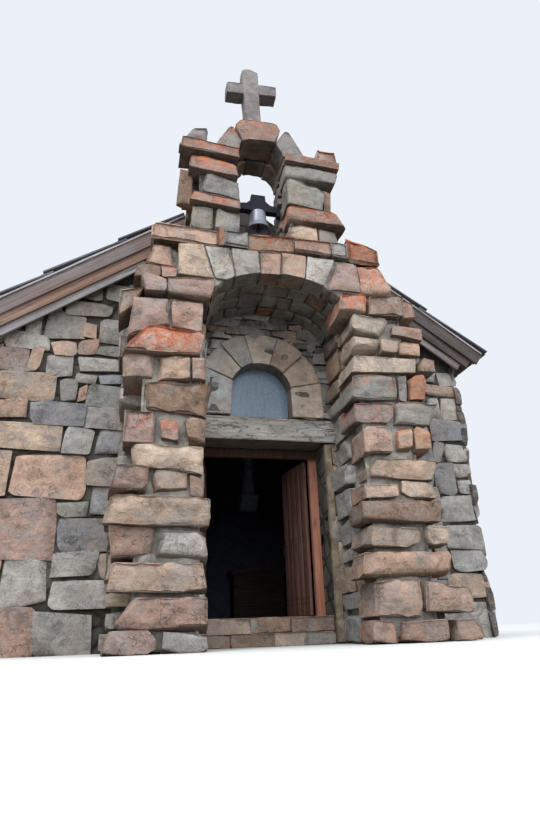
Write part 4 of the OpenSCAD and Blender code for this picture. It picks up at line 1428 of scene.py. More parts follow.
        # The recess under the porch is laid mostly in dark tints: painted shade under the porch's
        # arch.
        recess = Rubble(wall, Side.FRONT, near, wide=(0.12, 0.42), high=(0.07, 0.16),
                        tints=(Tint.GREY, Tint.DARK, Tint.DARK, Tint.BLUE, Tint.BROWN, Tint.DARK))
        recess.fill(start, p.door_x - self.ring_half, p.lintel_head, lambda _: self.ring_top)
        recess.fill(p.door_x + self.ring_half, end, p.lintel_head, lambda _: self.ring_top)
        recess.fill(start, end, self.ring_top, lambda _: p.coping)
        wall.settle(self.finishes.walling, "rubble_stone")
        self.jambs(left, right)

    def jambs(self, left: float, right: float) -> None:
        """Lays the deep stones at both sides of the doorway.

        Args:
            left: The doorway's left side.
            right: Its right side.
        """
        p = self.plan
        near, far = p.front - self.lift, p.front + self.reveal
        masonry = Masonry("doorway_stones", 14)
        plaster = Masonry("doorway_plaster", 15)
        rng = masonry.rng
        for side, edge in ((-1, left), (1, right)):
            ends = beside(edge, side, -0.015, 0.10)
            plaster.lay(oblong(*ends, p.ground, p.lintel_foot), near, far, Tint.TAN, BEDDING)
            bed = p.ground
            while bed < p.lintel_foot - 0.05:
                high = min(rng.uniform(0.16, 0.36), p.lintel_foot - bed)
                outer = rng.uniform(0.24, 0.34)
                ends = beside(edge, side, rng.choice([0.0, 0.03, 0.09]), outer)
                tint = (Tint.TAN, Tint.BROWN, Tint.TAN, Tint.GREY)[rng.integers(4)]
                masonry.lay(oblong(*ends, bed, bed + high), near, far, tint, WALLING)
                bed += high
        masonry.settle(self.finishes.walling, "rubble_stone")
        plaster.settle(self.finishes.plaster, "rubble_stone")


# Porch

LEFT_PIER = (
    Block((-153, 0, -104, 0, -105, 21, -146, 20), Tint.MAUVE),
    Block((-101, 0, -60, 0, -61, 13, -100, 19), Tint.GREY),
    Block((-145, 22, -60, 15, -60, 46, -127, 48), Tint.ROSE, 0.1),
    Block((-153, 52, -61, 49, -66, 76, -147, 79), Tint.TAN),
    Block((-149, 80, -111, 80, -107, 111, -152, 111), Tint.ROSE, 0.1),
    Block((-109, 82, -60, 77, -64, 106, -103, 107), Tint.PALE),
    Block((-158, 111, -59, 109, -58, 137, -151, 139), Tint.TAN, 0.12, 0.03),
    Block((-157, 138, -120, 143, -116, 167, -149, 168), Tint.MAUVE, 0.1, 0.03),
    Block((-114, 140, -79, 140, -81, 165, -116, 165), Tint.TAN, 0.1),
    Block((-78, 140, -64, 138, -66, 157, -79, 161), Tint.BROWN, 0.0, -0.03),
    Block((-133, 169, -65, 160, -66, 189, -137, 192), Tint.BEIGE, 0.15, 0.02),
    Block((-145, 193, -115, 192, -110, 226, -145, 227), Tint.MAUVE, 0.55),
    Block((-108, 197, -89, 193, -92, 216, -110, 217), Tint.ROSE, 0.6, 0.03),
    Block((-80, 191, -63, 190, -62, 218, -86, 220), Tint.BROWN, 0.0),
    Block((-124, 227, -62, 222, -56, 257, -127, 256), Tint.BROWN, 0.25, 0.02),
    Block((-148, 257, -118, 260, -118, 293, -150, 290), Tint.PINK, 0.1),
    Block((-113, 260, -80, 262, -81, 288, -114, 287), Tint.TAN, 0.2),
    Block((-78, 262, -63, 263, -64, 289, -79, 288), Tint.ROSE),
    Block((-150, 288, -69, 290, -65, 318, -127, 320), Tint.ROSE, 0.85, 0.05),
    Block((-147, 305, -103, 326, -106, 359, -142, 360), Tint.MAUVE, 0.1, 0.02),
    Block((-101, 323, -68, 320, -67, 356, -103, 358), Tint.ROSE, 0.15),
)
RIGHT_PIER = (
    Block((96, 0, 124, 0, 125, 22, 98, 22), Tint.ROSE, 0.1, -0.03),
    Block((126, 0, 180, 0, 178, 22, 128, 20), Tint.ROSE, 0.2),
    Block((186, 0, 217, 0, 213, 22, 187, 20), Tint.PINK, 0.1),
    Block((103, 25, 150, 23, 153, 60, 105, 59), Tint.PINK, 0.1),
    Block((154, 28, 207, 26, 205, 50, 157, 57), Tint.PINK, 0.1, 0.03),
    Block((90, 61, 188, 62, 191, 87, 95, 86), Tint.PINK, 0.08),
    Block((97, 90, 156, 90, 161, 110, 104, 112), Tint.TAN, 0.1, 0.03),
    Block((164, 92, 190, 92, 193, 112, 166, 113), Tint.BEIGE),
    Block((96, 115, 185, 116, 188, 139, 95, 136), Tint.BROWN, 0.15, 0.04),
    Block((103, 140, 140, 143, 141, 156, 102, 156), Tint.PINK, 0.2, 0.0, SLAB),
    Block((143, 143, 186, 141, 182, 160, 146, 160), Tint.BEIGE, 0.15),
    Block((111, 163, 184, 161, 195, 185, 112, 184), Tint.TAN, 0.1, 0.02),
    Block((105, 186, 137, 188, 139, 221, 107, 221), Tint.PINK, 0.15),
    Block((145, 192, 162, 191, 165, 220, 149, 217), Tint.TAN, 0.5),
    Block((165, 191, 184, 193, 186, 221, 168, 223), Tint.TAN, 0.55),
    Block((99, 225, 144, 224, 148, 250, 101, 248), Tint.MAUVE, 0.5),
    Block((146, 224, 187, 224, 203, 252, 150, 251), Tint.GREY, 0.08),
    Block((95, 249, 154, 253, 153, 284, 99, 278), Tint.GREEN, 0.5),
    Block((156, 253, 165, 253, 168, 285, 157, 283), Tint.GREY, 0.1, -0.02),
    Block((167, 253, 184, 254, 195, 285, 170, 285), Tint.RUST, 0.45),
    Block((99, 282, 182, 288, 184, 306, 103, 303), Tint.BEIGE, 0.05, 0.03),
    Block((184, 290, 205, 290, 205, 306, 186, 309), Tint.BROWN, 0.55),
    Block((101, 306, 135, 311, 136, 329, 105, 332), Tint.TAN, 0.08),
    Block((137, 310, 157, 310, 160, 326, 138, 327), Tint.TAN, 0.05, 0.0, SLAB),
    Block((160, 310, 188, 311, 190, 327, 162, 327), Tint.PINK, 0.2, 0.0, SLAB),
    Block((103, 335, 140, 331, 154, 354, 105, 358), Tint.BEIGE, 0.05, 0.02),
    Block((157, 338, 194, 330, 194, 348, 160, 355), Tint.MAUVE, 0.4),
)


@dataclass
class Pier:
    """One porch pier: front stones of their own shapes, courses behind them and a mortar core."""

    name: str
    node: str
    seed: int
    side: int
    blocks: tuple[Block, ...]
    finishes: Finishes
    plan: Plan = PLAN
    # How far the mortar lies behind the front, the inner and the outer face of the stones
    core_in: tuple[float, float, float] = (0.06, 0.04, 0.24)
    tints: tuple[Tint, ...] = (Tint.PALE, Tint.BEIGE, Tint.PALE, Tint.PALE, Tint.TAN)
    # Half of a joint between two courses
    bed_joint: float = 0.015

    def build(self) -> None:
        """Lays the pier."""
        p = self.plan
        inner = p.porch_x + self.side * p.porch_half
        outer = inner + self.side * p.pier_wide
        stones = Masonry(self.name, self.seed)
        for block in self.blocks:
            near = p.porch - 0.02 - block.out - stones.rng.uniform(-0.03, 0.03)
            far = p.porch + stones.rng.uniform(0.40, 0.56)
            stones.lay(block.face(), near, far, block.tint, block.dressing, block.lichen)
        self.backing(stones, inner, outer)
        stones.settle(self.finishes.porch, "porch_stone", self.node)
        core = Masonry(self.name + "_core", self.seed + 50)
        behind, from_inner, from_outer = self.core_in
        ends = sorted((inner + self.side * from_inner, outer - self.side * from_outer))
        core.lay(oblong(*ends, p.ground, p.spring), p.porch + behind, p.front, Tint.GREY, BEDDING)
        core.settle(self.finishes.mortar, "porch_stone", self.node)

    def backing(self, stones: Masonry, inner: float, outer: float) -> None:
        """Lays the courses between the front stones and the wall.

        Args:
            stones: The pier's stones.
            inner: The pier's face at the passage.
            outer: Its other face.
        """
        p = self.plan
        rng = stones.rng
        bed = p.ground
        while bed < p.spring - 0.02:
            high = rng.uniform(0.19, 0.34)
            if p.spring - bed - high < 0.14:
                high = p.spring - bed
            low, top = sorted((inner - self.side * rng.uniform(-0.04, 0.05),
                               outer + self.side * rng.uniform(-0.12, 0.03)))
            middle = (low + top) / 2 + rng.uniform(-0.12, 0.12)
            foot, head = bed + self.bed_joint, bed + high - self.bed_joint
            for left, right in ((low, middle - 0.01), (middle + 0.01, top)):
                tint = self.tints[rng.integers(len(self.tints))]
                off = rng.uniform(-0.02, 0.02, 4)
                face = four((left, foot + off[0]), (right, foot + off[1]),
                            (right, head + off[2]), (left, head + off[3]))
                stones.lay(face, p.porch + rng.uniform(0.40, 0.50), p.front - 0.005, tint, HEWN,
                           0.25 * (rng.random() < 0.3))
            bed += high


@dataclass
class PorchHead:
    """The arch over the porch, the masonry beside it and the coping on top."""

    finishes: Finishes
    plan: Plan = PLAN
    arch_half: float = 0.78
    rise: float = 0.39
    shoulder_half: float = 1.55
    coping_x: float = -0.09
    coping_half: float = 1.175
    # How deep the stones of the front plane go, and how far the mortar lies behind it
    stones_deep: float = 0.52
    mortar_in: float = 0.07
    # The height of the lower stones of a shoulder, and that of the arch stones' feet beside it
    shoulder_step: float = 0.30
    shoulder_head: float = 3.868
    # Rough arch stones are this much wider at their heads
    flare: float = 1.12
    # The front and the back of each row of rough arch stones, behind the porch's front
    rows: tuple[Pair, ...] = ((0.24, 0.50), (0.49, 0.76), (0.75, 1.015))
    rough: tuple[Tint, ...] = (Tint.SLATE, Tint.GREEN, Tint.GREY, Tint.BROWN, Tint.GREEN)
    # The arch stones cut to the curve: ends of the foot and of the head, colour and lichen
    voussoirs: tuple[tuple[float, float, float, float, Tint, float], ...] = (
        (-0.54, -0.31, -0.67, -0.37, Tint.PALE, 0.0),
        (-0.31, -0.01, -0.365, -0.035, Tint.GREY, 0.0),
        (-0.01, 0.225, -0.03, 0.245, Tint.PINK, 0.3), (0.23, 0.515, 0.25, 0.55, Tint.TAN, 0.4),
        (0.52, 0.75, 0.56, 0.91, Tint.PALE, 0.0))
    # The first and the last arch stone, and the stones of each shoulder
    ends: tuple[Block, ...] = (
        Block((-96, 389, -55, 387, -68, 432, -97, 431), Tint.BEIGE, 0.35, 0.01, CUT),
        Block((77, 387, 121, 386, 118, 432, 92, 432), Tint.MAUVE, 0.1, 0.02, SLAB))
    left: tuple[Block, ...] = (
        Block((-157, 332, -142, 348, -131, 374, -158, 368), Tint.BROWN, 0.0, -0.06, SLAB),
        Block((-130, 363, -108, 362, -108, 380, -137, 386), Tint.MAUVE, 0.05, 0.05, SLAB),
        Block((-107, 361, -60, 359, -53, 386, -107, 380), Tint.MAUVE, 0.0, 0.06, SLAB),
        Block((-144, 382, -114, 385, -115, 399, -140, 398), Tint.BROWN, 0.15, 0.0, SLAB),
        Block((-113, 384, -97, 387, -97, 399, -115, 399), Tint.ROSE, 0.65, 0.0, SLAB),
        Block((-133, 401, -99, 400, -102, 430, -123, 428), Tint.PINK, 0.2, 0.0, HEWN))
    right: tuple[Block, ...] = (
        Block((89, 355, 125, 358, 127, 387, 93, 382), Tint.ROSE, 0.8, 0.06, HEWN),
        Block((128, 360, 172, 360, 174, 387, 130, 384), Tint.BROWN, 0.1, 0.05, SLAB),
        Block((173, 361, 192, 364, 189, 384, 176, 386), Tint.ROSE, 0.45, -0.02, SLAB),
        Block((123, 389, 166, 391, 149, 433, 120, 432), Tint.PINK, 0.65, 0.0, HEWN))
    # The ends of the coping slabs, from its left end, with their colours and lichen
    slabs: tuple[tuple[float, float, Tint, float], ...] = (
        (-1.27, -0.50, Tint.PINK, 0.25), (-0.50, -0.44, Tint.RUST, 0.3),
        (-0.44, -0.16, Tint.GREY, 0.05), (-0.16, 0.41, Tint.BROWN, 0.5),
        (0.41, 0.87, Tint.ROSE, 0.4), (0.87, 1.09, Tint.GREY, 0.1))

    def under(self, start: float, end: float) -> Curve:
        """The arch's underside between two angles from its crown, in degrees."""
        return arc((self.plan.porch_x, self.plan.spring), self.arch_half, start, end,
                   self.rise / self.arch_half)

    def foot(self, start: float, end: float) -> Curve:
        """The foot of an arch stone, held over the shoulder stones.

        Args:
            start: Where it starts across the arch.
            end: Where it ends.

        Returns:
            The curve.
        """
        curve = self.under(self.angle(start), self.angle(end))

        def at(share: np.ndarray) -> np.ndarray:
            """The places at shares of the foot's length."""
            spots = curve(share)
            return np.stack([spots[:, 0], np.maximum(spots[:, 1], self.shoulder_head)], axis=1)

        return at

    def angle(self, x: float) -> float:
        """The angle from the crown at which the underside reaches a place across the arch."""
        return math.degrees(math.asin((x - self.plan.porch_x) / self.arch_half))

    def wedge(self, start: float, end: float, level: float) -> Face:
        """The face of a rough arch stone.

        Args:
            start: The angle from the crown at which it starts, in degrees.
            end: The angle at which it ends.
            level: The height of its head.

        Returns:
            The face.
        """
        spread = self.flare * self.arch_half
        spots = [(self.plan.porch_x + spread * math.sin(math.radians(a)), level)
                 for a in (start, end)]
        return between(self.under(start, end), run(*spots))

    def build(self) -> None:
        """Lays the arch, the shoulders, the coping and its end block."""
        self.arch()
        self.shoulders()
        self.coping()

    def put(self, masonry: Masonry, blocks: Sequence[Block], deep: float) -> None:
        """Lays blocks in the front plane of the porch.

        Args:
            masonry: The piece that they belong to.
            blocks: The blocks.
            deep: How far they go into the porch.
        """
        for block in blocks:
            masonry.lay(block.face(), self.plan.porch - block.out, self.plan.porch + deep,
                        block.tint, block.dressing, block.lichen)

    def arch(self) -> None:
        """Lays the arch stones, and three rows of rougher ones over the passage."""
        p = self.plan
        stones = Masonry("porch_arch_stones", 31, 0.97)
        rng = stones.rng
        level = p.coping - 0.01
        self.put(stones, self.ends, 0.36)
        for foot, foot_end, head, head_end, tint, lichen in self.voussoirs:
            face = between(self.foot(foot, foot_end), run((head, level), (head_end, level)))
            near = p.porch - rng.uniform(-0.005, 0.025)
            stones.lay(face, near, p.porch + 0.26, tint, CUT, lichen)
        for near, far in self.rows:
            cuts = [-90.0]
            while cuts[-1] < 72:
                cuts.append(cuts[-1] + rng.uniform(14, 27))
            cuts[-1] = 90.0
            for start, end in zip(cuts, cuts[1:]):
                tint = self.rough[rng.integers(len(self.rough))]
                if (near, far) == self.rows[-1] and start < 0 < end:
                    tint = Tint.RUST
                stones.lay(self.wedge(start, end, level - 0.01), p.porch + near, p.porch + far,
                           tint, SLAB)
        for side in (-1, 1):
            start, end = sorted((90 * side, 62 * side))
            stones.lay(self.wedge(start, end, level - 0.02), p.porch + 0.05, p.porch + 0.25,
                       Tint.BROWN, SLAB)
        stones.settle(self.finishes.arch, "dressed_stone", "porch_arch")
        self.bedding(Masonry("porch_arch_mortar", 36), 0.012, 70, (-0.95, 1.18),
                     (p.porch + 0.028, p.porch + 0.2), self.finishes.mortar)
        self.bedding(Masonry("porch_arch_core", 37), 0.03, 88, (-0.85, 1.10),
                     (p.porch + 0.2, p.front - 0.01), self.finishes.joints)

    def bedding(self, core: Masonry, off: float, turn: float, head: Pair, depths: Pair,
                material: bpy.types.Material) -> None:
        """Lays the mortar between the arch stones.

        Args:
            core: The piece.
            off: How far it lies over the arch's underside.
            turn: The angle from the crown at which it ends, to both sides.
            head: The ends of its head.
            depths: Its front and its back.
            material: Its finish.
        """
        p = self.plan
        inner = arc((p.porch_x, p.spring), self.arch_half + off, -turn, turn,
                    (self.rise + off) / self.arch_half)
        face = between(inner, run(*((end, p.coping - 0.01) for end in head)))
        core.lay(face, *depths, Tint.GREY, JOINT)
        core.settle(material, "dressed_stone", "porch_arch")

    def shoulders(self) -> None:
        """Lays the masonry over the piers."""
        p = self.plan
        x, far = p.porch_x, p.front - 0.005
        foot, middle, top = p.spring, p.spring + self.shoulder_step, p.coping - 0.03
        for side, name, seed, blocks in ((-1, "left", 32, self.left),
                                         (1, "right", 33, self.right)):
            node = f"porch_shoulder_{name}"
            masonry = Masonry(node + "_stones", seed)
            self.put(masonry, blocks, self.stones_deep)
            ends = beside(x, side, 0.82, self.shoulder_half - 0.05)
            masonry.lay(oblong(*ends, foot, middle), p.porch + 0.50, far, Tint.GREY, HEWN)
            ends = beside(x, side, 0.90, self.shoulder_half - 0.20)
            masonry.lay(oblong(*ends, middle, top), p.porch + 0.52, far, Tint.MAUVE, HEWN)
            masonry.settle(self.finishes.porch, "porch_stone", node)
            core = Masonry(node + "_core", seed + 50)
            ends = beside(x, side, 0.80, self.shoulder_half - 0.10)
            tops = beside(x, side, 0.80, self.shoulder_half - 0.26)
            face = four((ends[0], foot), (ends[1], foot), (tops[1], top), (tops[0], top))
            core.lay(face, p.porch + self.mortar_in, far, Tint.GREY, BEDDING)
            core.settle(self.finishes.mortar, "porch_stone", node)

    def coping(self) -> None:
        """Lays the slabs under the bell gable and the loose block at their end."""
        p = self.plan
        stones = Masonry("coping_slabs", 34)
        for start, end, tint, lichen in self.slabs:
            off = stones.rng.uniform(-0.012, 0.012, 3)
            face = four((start, p.coping + off[0]), (end, p.coping + off[1]), (end, p.bell_floor),
                        (start, p.bell_floor + off[2]))
            stones.lay(face, p.porch - 0.05 - 2 * off[0], p.porch + 0.50, tint, COPE, lichen)
        backs = (Tint.GREY, Tint.ROSE, Tint.GREY, Tint.ROSE)
        wide = 2 * self.coping_half / len(backs)
        for i, tint in enumerate(backs):
            start = self.coping_x - self.coping_half + wide * i
            stones.lay(oblong(start, start + wide, p.coping, p.bell_floor - 0.01),
                       p.porch + 0.49, p.front - 0.005, tint, SLAB, 0.2)
        stones.settle(self.finishes.porch, "porch_stone", "coping")
        block = Masonry("end_block_stone", 35)
        low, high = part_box("end_block")
        face = four((low.x, low.z - 0.01), (high.x + 0.02, low.z), (high.x + 0.01, high.z - 0.04),
                    (low.x - 0.02, high.z + 0.05))
        block.lay(face, low.y - 0.02, high.y, Tint.RUST, COPE, 0.6)
        block.settle(self.finishes.porch, "porch_stone", "end_block")


# Bell gable

@dataclass
class BellGable:
    """The two small piers, the arch over the bell and the cross."""

    finishes: Finishes
    plan: Plan = PLAN
    # Half of the opening's width, the height of the arch stones' wall, and where the front
    # stones end behind the porch's front
    open_half: float = 0.29
    arch_high: float = 0.28
    middle: float = 0.34
    back_tints: tuple[Tint, ...] = (Tint.GREY, Tint.MAUVE, Tint.BROWN, Tint.SLATE)
    left: tuple[Block, ...] = (
        Block((-83, 458, -56, 457, -56, 490, -81, 492), Tint.GREEN, 0.0, -0.01),
        Block((-54, 457, -24, 456, -24, 485, -53, 489), Tint.GREY, 0.05),
        Block((-85, 493, -24, 488, -24, 502, -80, 506), Tint.ROSE, 0.6, 0.04, SLAB),
        Block((-73, 509, -23, 505, -24, 539, -66, 546), Tint.GREY, 0.05, 0.01),
        Block((-88, 545, -25, 539, -28, 562, -84, 565), Tint.MAUVE, 0.6, 0.03),
        Block((-98, 569, -24, 570, -24, 586, -96, 588), Tint.MAUVE, 0.6, 0.05, SLAB),
        Block((-99, 506, -80, 502, -80, 558, -96, 555), Tint.BROWN, 0.5, -0.16))
    right: tuple[Block, ...] = (
        Block((35, 457, 73, 457, 72, 480, 36, 482), Tint.BEIGE, 0.35),
        Block((75, 457, 99, 457, 98, 478, 76, 480), Tint.GREY, 0.0, -0.02),
        Block((36, 486, 110, 480, 100, 500, 37, 509), Tint.ROSE, 0.6, 0.05),
        Block((36, 511, 83, 506, 87, 544, 37, 551), Tint.GREEN, 0.05, 0.01),
        Block((85, 504, 94, 503, 96, 538, 88, 542), Tint.BROWN, 0.2, -0.05),
        Block((35, 553, 100, 547, 107, 566, 36, 574), Tint.GREY, 0.15, 0.03),
        Block((35, 576, 108, 574, 109, 584, 36, 587), Tint.ROSE, 0.6, 0.04, SLAB),
        Block((75, 584, 110, 584, 108, 611, 84, 613), Tint.MAUVE, 0.5, -0.04, COPE))

    def build(self) -> None:
        """Lays the gable and stands the cross on it."""
        p = self.plan
        for name, seed, blocks, side in (("left", 41, self.left, -1),
                                         ("right", 42, self.right, 1)):
            masonry = Masonry(f"bell_pier_{name}_stones", seed, 0.91)
            for block in blocks:
                far = p.porch + (self.middle + masonry.rng.uniform(0.0, 0.03))
                masonry.lay(block.face(), p.porch - block.out, far, block.tint, block.dressing,
                            block.lichen)
            self.backs(masonry, side)
            if side < 0:
                face = four((-1.00, 5.86), (-0.62, 5.86), (-0.62, 6.23), (-0.80, 6.17))
                masonry.lay(face, p.porch + 0.06, p.porch + 0.33, Tint.SLATE, COPE, 0.15)
            ends = beside(p.bell_x, side, self.open_half + 0.04, 0.80)
            masonry.lay(oblong(*ends, p.bell_floor, p.bell_spring + 0.05), p.porch + 0.06,
                        p.gable_back - 0.05, Tint.DARK, BEDDING)
            masonry.settle(self.finishes.porch, "porch_stone", f"bell_pier_{name}")
        self.arch()
        self.cross()

    def backs(self, masonry: Masonry, side: int) -> None:
        """Lays the back half of a pier in courses.

        Args:
            masonry: The pier's stones.
            side: -1 for the left pier, 1 for the right.
        """
        p = self.plan
        rng = masonry.rng
        bed = p.bell_floor
        cap = p.bell_spring + 0.13
        while bed < cap - 0.02:
            high = rng.uniform(0.14, 0.27)
            if cap - bed - high < 0.1:
                high = cap - bed
            ends = beside(p.bell_x, side, self.open_half - 0.005, 0.90 + rng.uniform(-0.06, 0.08))
            tint = self.back_tints[rng.integers(len(self.back_tints))]
            masonry.lay(oblong(*ends, bed + 0.01, bed + high - 0.01), p.porch + self.middle - 0.02,
                        p.gable_back, tint, HEWN, 0.2)
            bed += high

    def arch(self) -> None:
        """Lays the two springers and the keystone, each in a front and a back half."""
        p = self.plan
        x, z = p.bell_x, p.bell_spring
        stones = Masonry("bell_arch_stones", 43, 0.88)
        left = between(run((-0.55, 5.86), (-0.24, 5.84), (-0.235, 5.90)),
                       run((-0.37, 6.20), (-0.31, 6.24), (-0.205, 6.00)))
        right = between(run((0.33, 5.90), (0.34, 5.84), (0.65, 5.85)),
                        run((0.24, 6.05), (0.38, 6.30), (0.44, 6.27)))
        key = between(run((-0.20, 5.98), (-0.10, 6.03), (0.05, 6.04), (0.23, 6.04)),
                      run((-0.29, 6.24), (-0.21, 6.35), (0.19, 6.37), (0.26, 6.36), (0.31, 6.25)))
        far = p.porch + (self.middle + 0.01)
        for face, out, tint, lichen in ((left, 0.01, Tint.GREY, 0.42),
                                        (right, 0.015, Tint.GREY, 0.05),
                                        (key, -0.01, Tint.MAUVE, 0.5)):
            stones.lay(face, p.porch + out, far, tint, CUT, lichen)
        for start, end, tint in ((-90, -27, Tint.BROWN), (-26, 26, Tint.DARK),
                                 (27, 90, Tint.BROWN)):
            face = between(arc((x, z), self.open_half, start, end),
                           arc((x, z), self.open_half + self.arch_high, start, end))
            stones.lay(face, p.porch + self.middle, p.gable_back, tint, SLAB)
        for side in (-1, 1):
            ends = beside(x, side, self.open_half, self.open_half + 0.26)
            stones.lay(oblong(*ends, z - 0.01, z + 0.13), p.porch + 0.03, p.gable_back - 0.01,
                       Tint.MAUVE, SLAB)
        stones.settle(self.finishes.arch, "dressed_stone", "bell_arch")

    def cross(self) -> None:
        """Stands the cross, cut from one stone, on the keystone."""
        low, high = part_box("cross")
        stones = Masonry("cross_stone", 44, 0.90, 0.0)
        middle, deep = (low.y + high.y) / 2, (high.y - low.y) / 2
        shaft = between(run((-0.095, low.z), (0.13, low.z)),
                        run((-0.15, 7.56), (-0.03, high.z), (0.10, 7.57)))
        arms = four((-0.365, 7.07), (0.36, 7.15), (0.36, 7.35), (-0.365, 7.29))
        stones.lay(shaft, middle - deep, middle + deep, Tint.SLATE, CARVED)
        stones.lay(arms, middle - deep - 0.002, middle + deep + 0.002, Tint.SLATE, CARVED)
        stones.settle(self.finishes.cut, "dressed_stone", "cross")


# Doorway and window

@dataclass
class Opening:
    """The dressed stones round the window, its pane, the lintel and the sill."""

    finishes: Finishes
    plan: Plan = PLAN
    inner: float = 0.385
    outer: float = 0.80
    stilt: float = 0.32
    # Where the ring starts and ends, from the wall's face
    ring_depths: Pair = (-0.075, 0.245)
    # How far the mortar lies behind the stones, and how far it stays off the ring's inner edge
    mortar_in: Pair = (0.024, 0.012)
    # The arc stones: the angles from the crown at which they start and end, and their colours
    ring_stones: tuple[tuple[float, float, Tint], ...] = (
        (-68, -40, Tint.PALE), (-40, -15, Tint.GREY), (-15, 17, Tint.BEIGE), (17, 47, Tint.TAN),
        (47, 78, Tint.BEIGE))
    # The joints of the sill's two courses, from its left end
    sill_joints: tuple[tuple[float, ...], ...] = ((0.0, 0.38, 0.86, 1.22), (0.0, 0.60, 1.05))

    def spot(self, angle: float, radius: float) -> Pair:
        """A place on the ring.

        Args:
            angle: The angle from the crown, in degrees.
            radius: The distance from the centre.

        Returns:
            The place.
        """
        turn = math.radians(angle)
        return (self.plan.door_x + radius * math.sin(turn),
                self.plan.lintel_head + self.stilt + radius * math.cos(turn))

    def build(self) -> None:
        """Lays the ring and the sill, hews the lintel and paints the pane and the frame."""
        self.ring()
        self.lintel()
        self.sill()
        f = self.finishes
        for node, material in (("window_pane", f.pane), ("floor_slab", f.mortar),
                               ("door_frame", f.frame), ("door_pintles", f.iron)):
            paint_node(node, material)

    def ring(self) -> None:
        """Lays the stones round the window, and the mortar between them."""
        p = self.plan
        ring = Masonry("window_stones", 51)
        near, far = (p.front + depth for depth in self.ring_depths)
        x, foot, inner, outer = p.door_x, p.lintel_head, self.inner, self.outer
        centre = (x, foot + self.stilt)
        for i, (start, end, tint) in enumerate(self.ring_stones):
            face = between(arc(centre, inner, start, end), arc(centre, outer, start, end))
            ring.lay(face, near - 0.012 * (i % 2), far, tint, CUT)
        left, right = self.ring_stones[0][0], self.ring_stones[-1][1]
        ring.lay(four((x - outer, foot), (x - inner, foot), self.spot(left, inner),
                      self.spot(left, outer)), near, far, Tint.PALE, CUT)
        ring.lay(four((x + inner, foot), (x + outer, foot), self.spot(right, outer),
                      self.spot(right, inner)), near, far, Tint.BEIGE, CUT)
        ring.settle(self.finishes.cut, "dressed_stone", "window_ring")
        mortar = Masonry("window_mortar", 54)
        behind, off = self.mortar_in
        inner += off
        for start, end in ((-90, -30), (-30, 30), (30, 90)):
            face = between(arc(centre, inner, start, end), arc(centre, outer, start, end))
            mortar.lay(face, near + behind, far, Tint.GREY, JOINT)
        for side in (-1, 1):
            mortar.lay(oblong(*beside(x, side, inner, outer), foot, centre[1]), near + behind,
                       far, Tint.GREY, JOINT)
        mortar.settle(self.finishes.mortar, "dressed_stone", "window_ring")

    def lintel(self) -> None:
        """Hews the timber over the doorway."""
        low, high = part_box("door_lintel")
        beam = Masonry("lintel_beam", 52)
        beam.lay(oblong(low.x, high.x, low.z, high.z), low.y - 0.05, high.y, Tint.GREY, BEAM)
        beam.settle(self.finishes.lintel, "weathered_timber", "door_lintel")

    def sill(self) -> None:
        """Lays the sill in two courses."""
        low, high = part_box("door_sill")
        sill = Masonry("door_sill_stones", 53)
        middle = low.z + 0.45 * (high.z - low.z)
        for joints, bed, head in zip(self.sill_joints, (low.z, middle), (middle, high.z)):
            starts = [low.x + joint for joint in joints]
            for start, end in zip(starts, [*starts[1:], high.x]):
                tint = (Tint.TAN, Tint.GREY, Tint.BROWN)[sill.rng.integers(3)]
                sill.lay(oblong(start, end, bed, head), low.y - 0.01, high.y, tint, SLAB)
        sill.settle(self.finishes.walling, "rubble_stone", "door_sill")
        bed = Masonry("door_sill_mortar", 55)
        bed.lay(oblong(low.x + 0.01, high.x - 0.01, low.z, high.z - 0.005), low.y + 0.03, high.y,
                Tint.GREY, JOINT)
        bed.settle(self.finishes.mortar, "rubble_stone", "door_sill")


# Roof

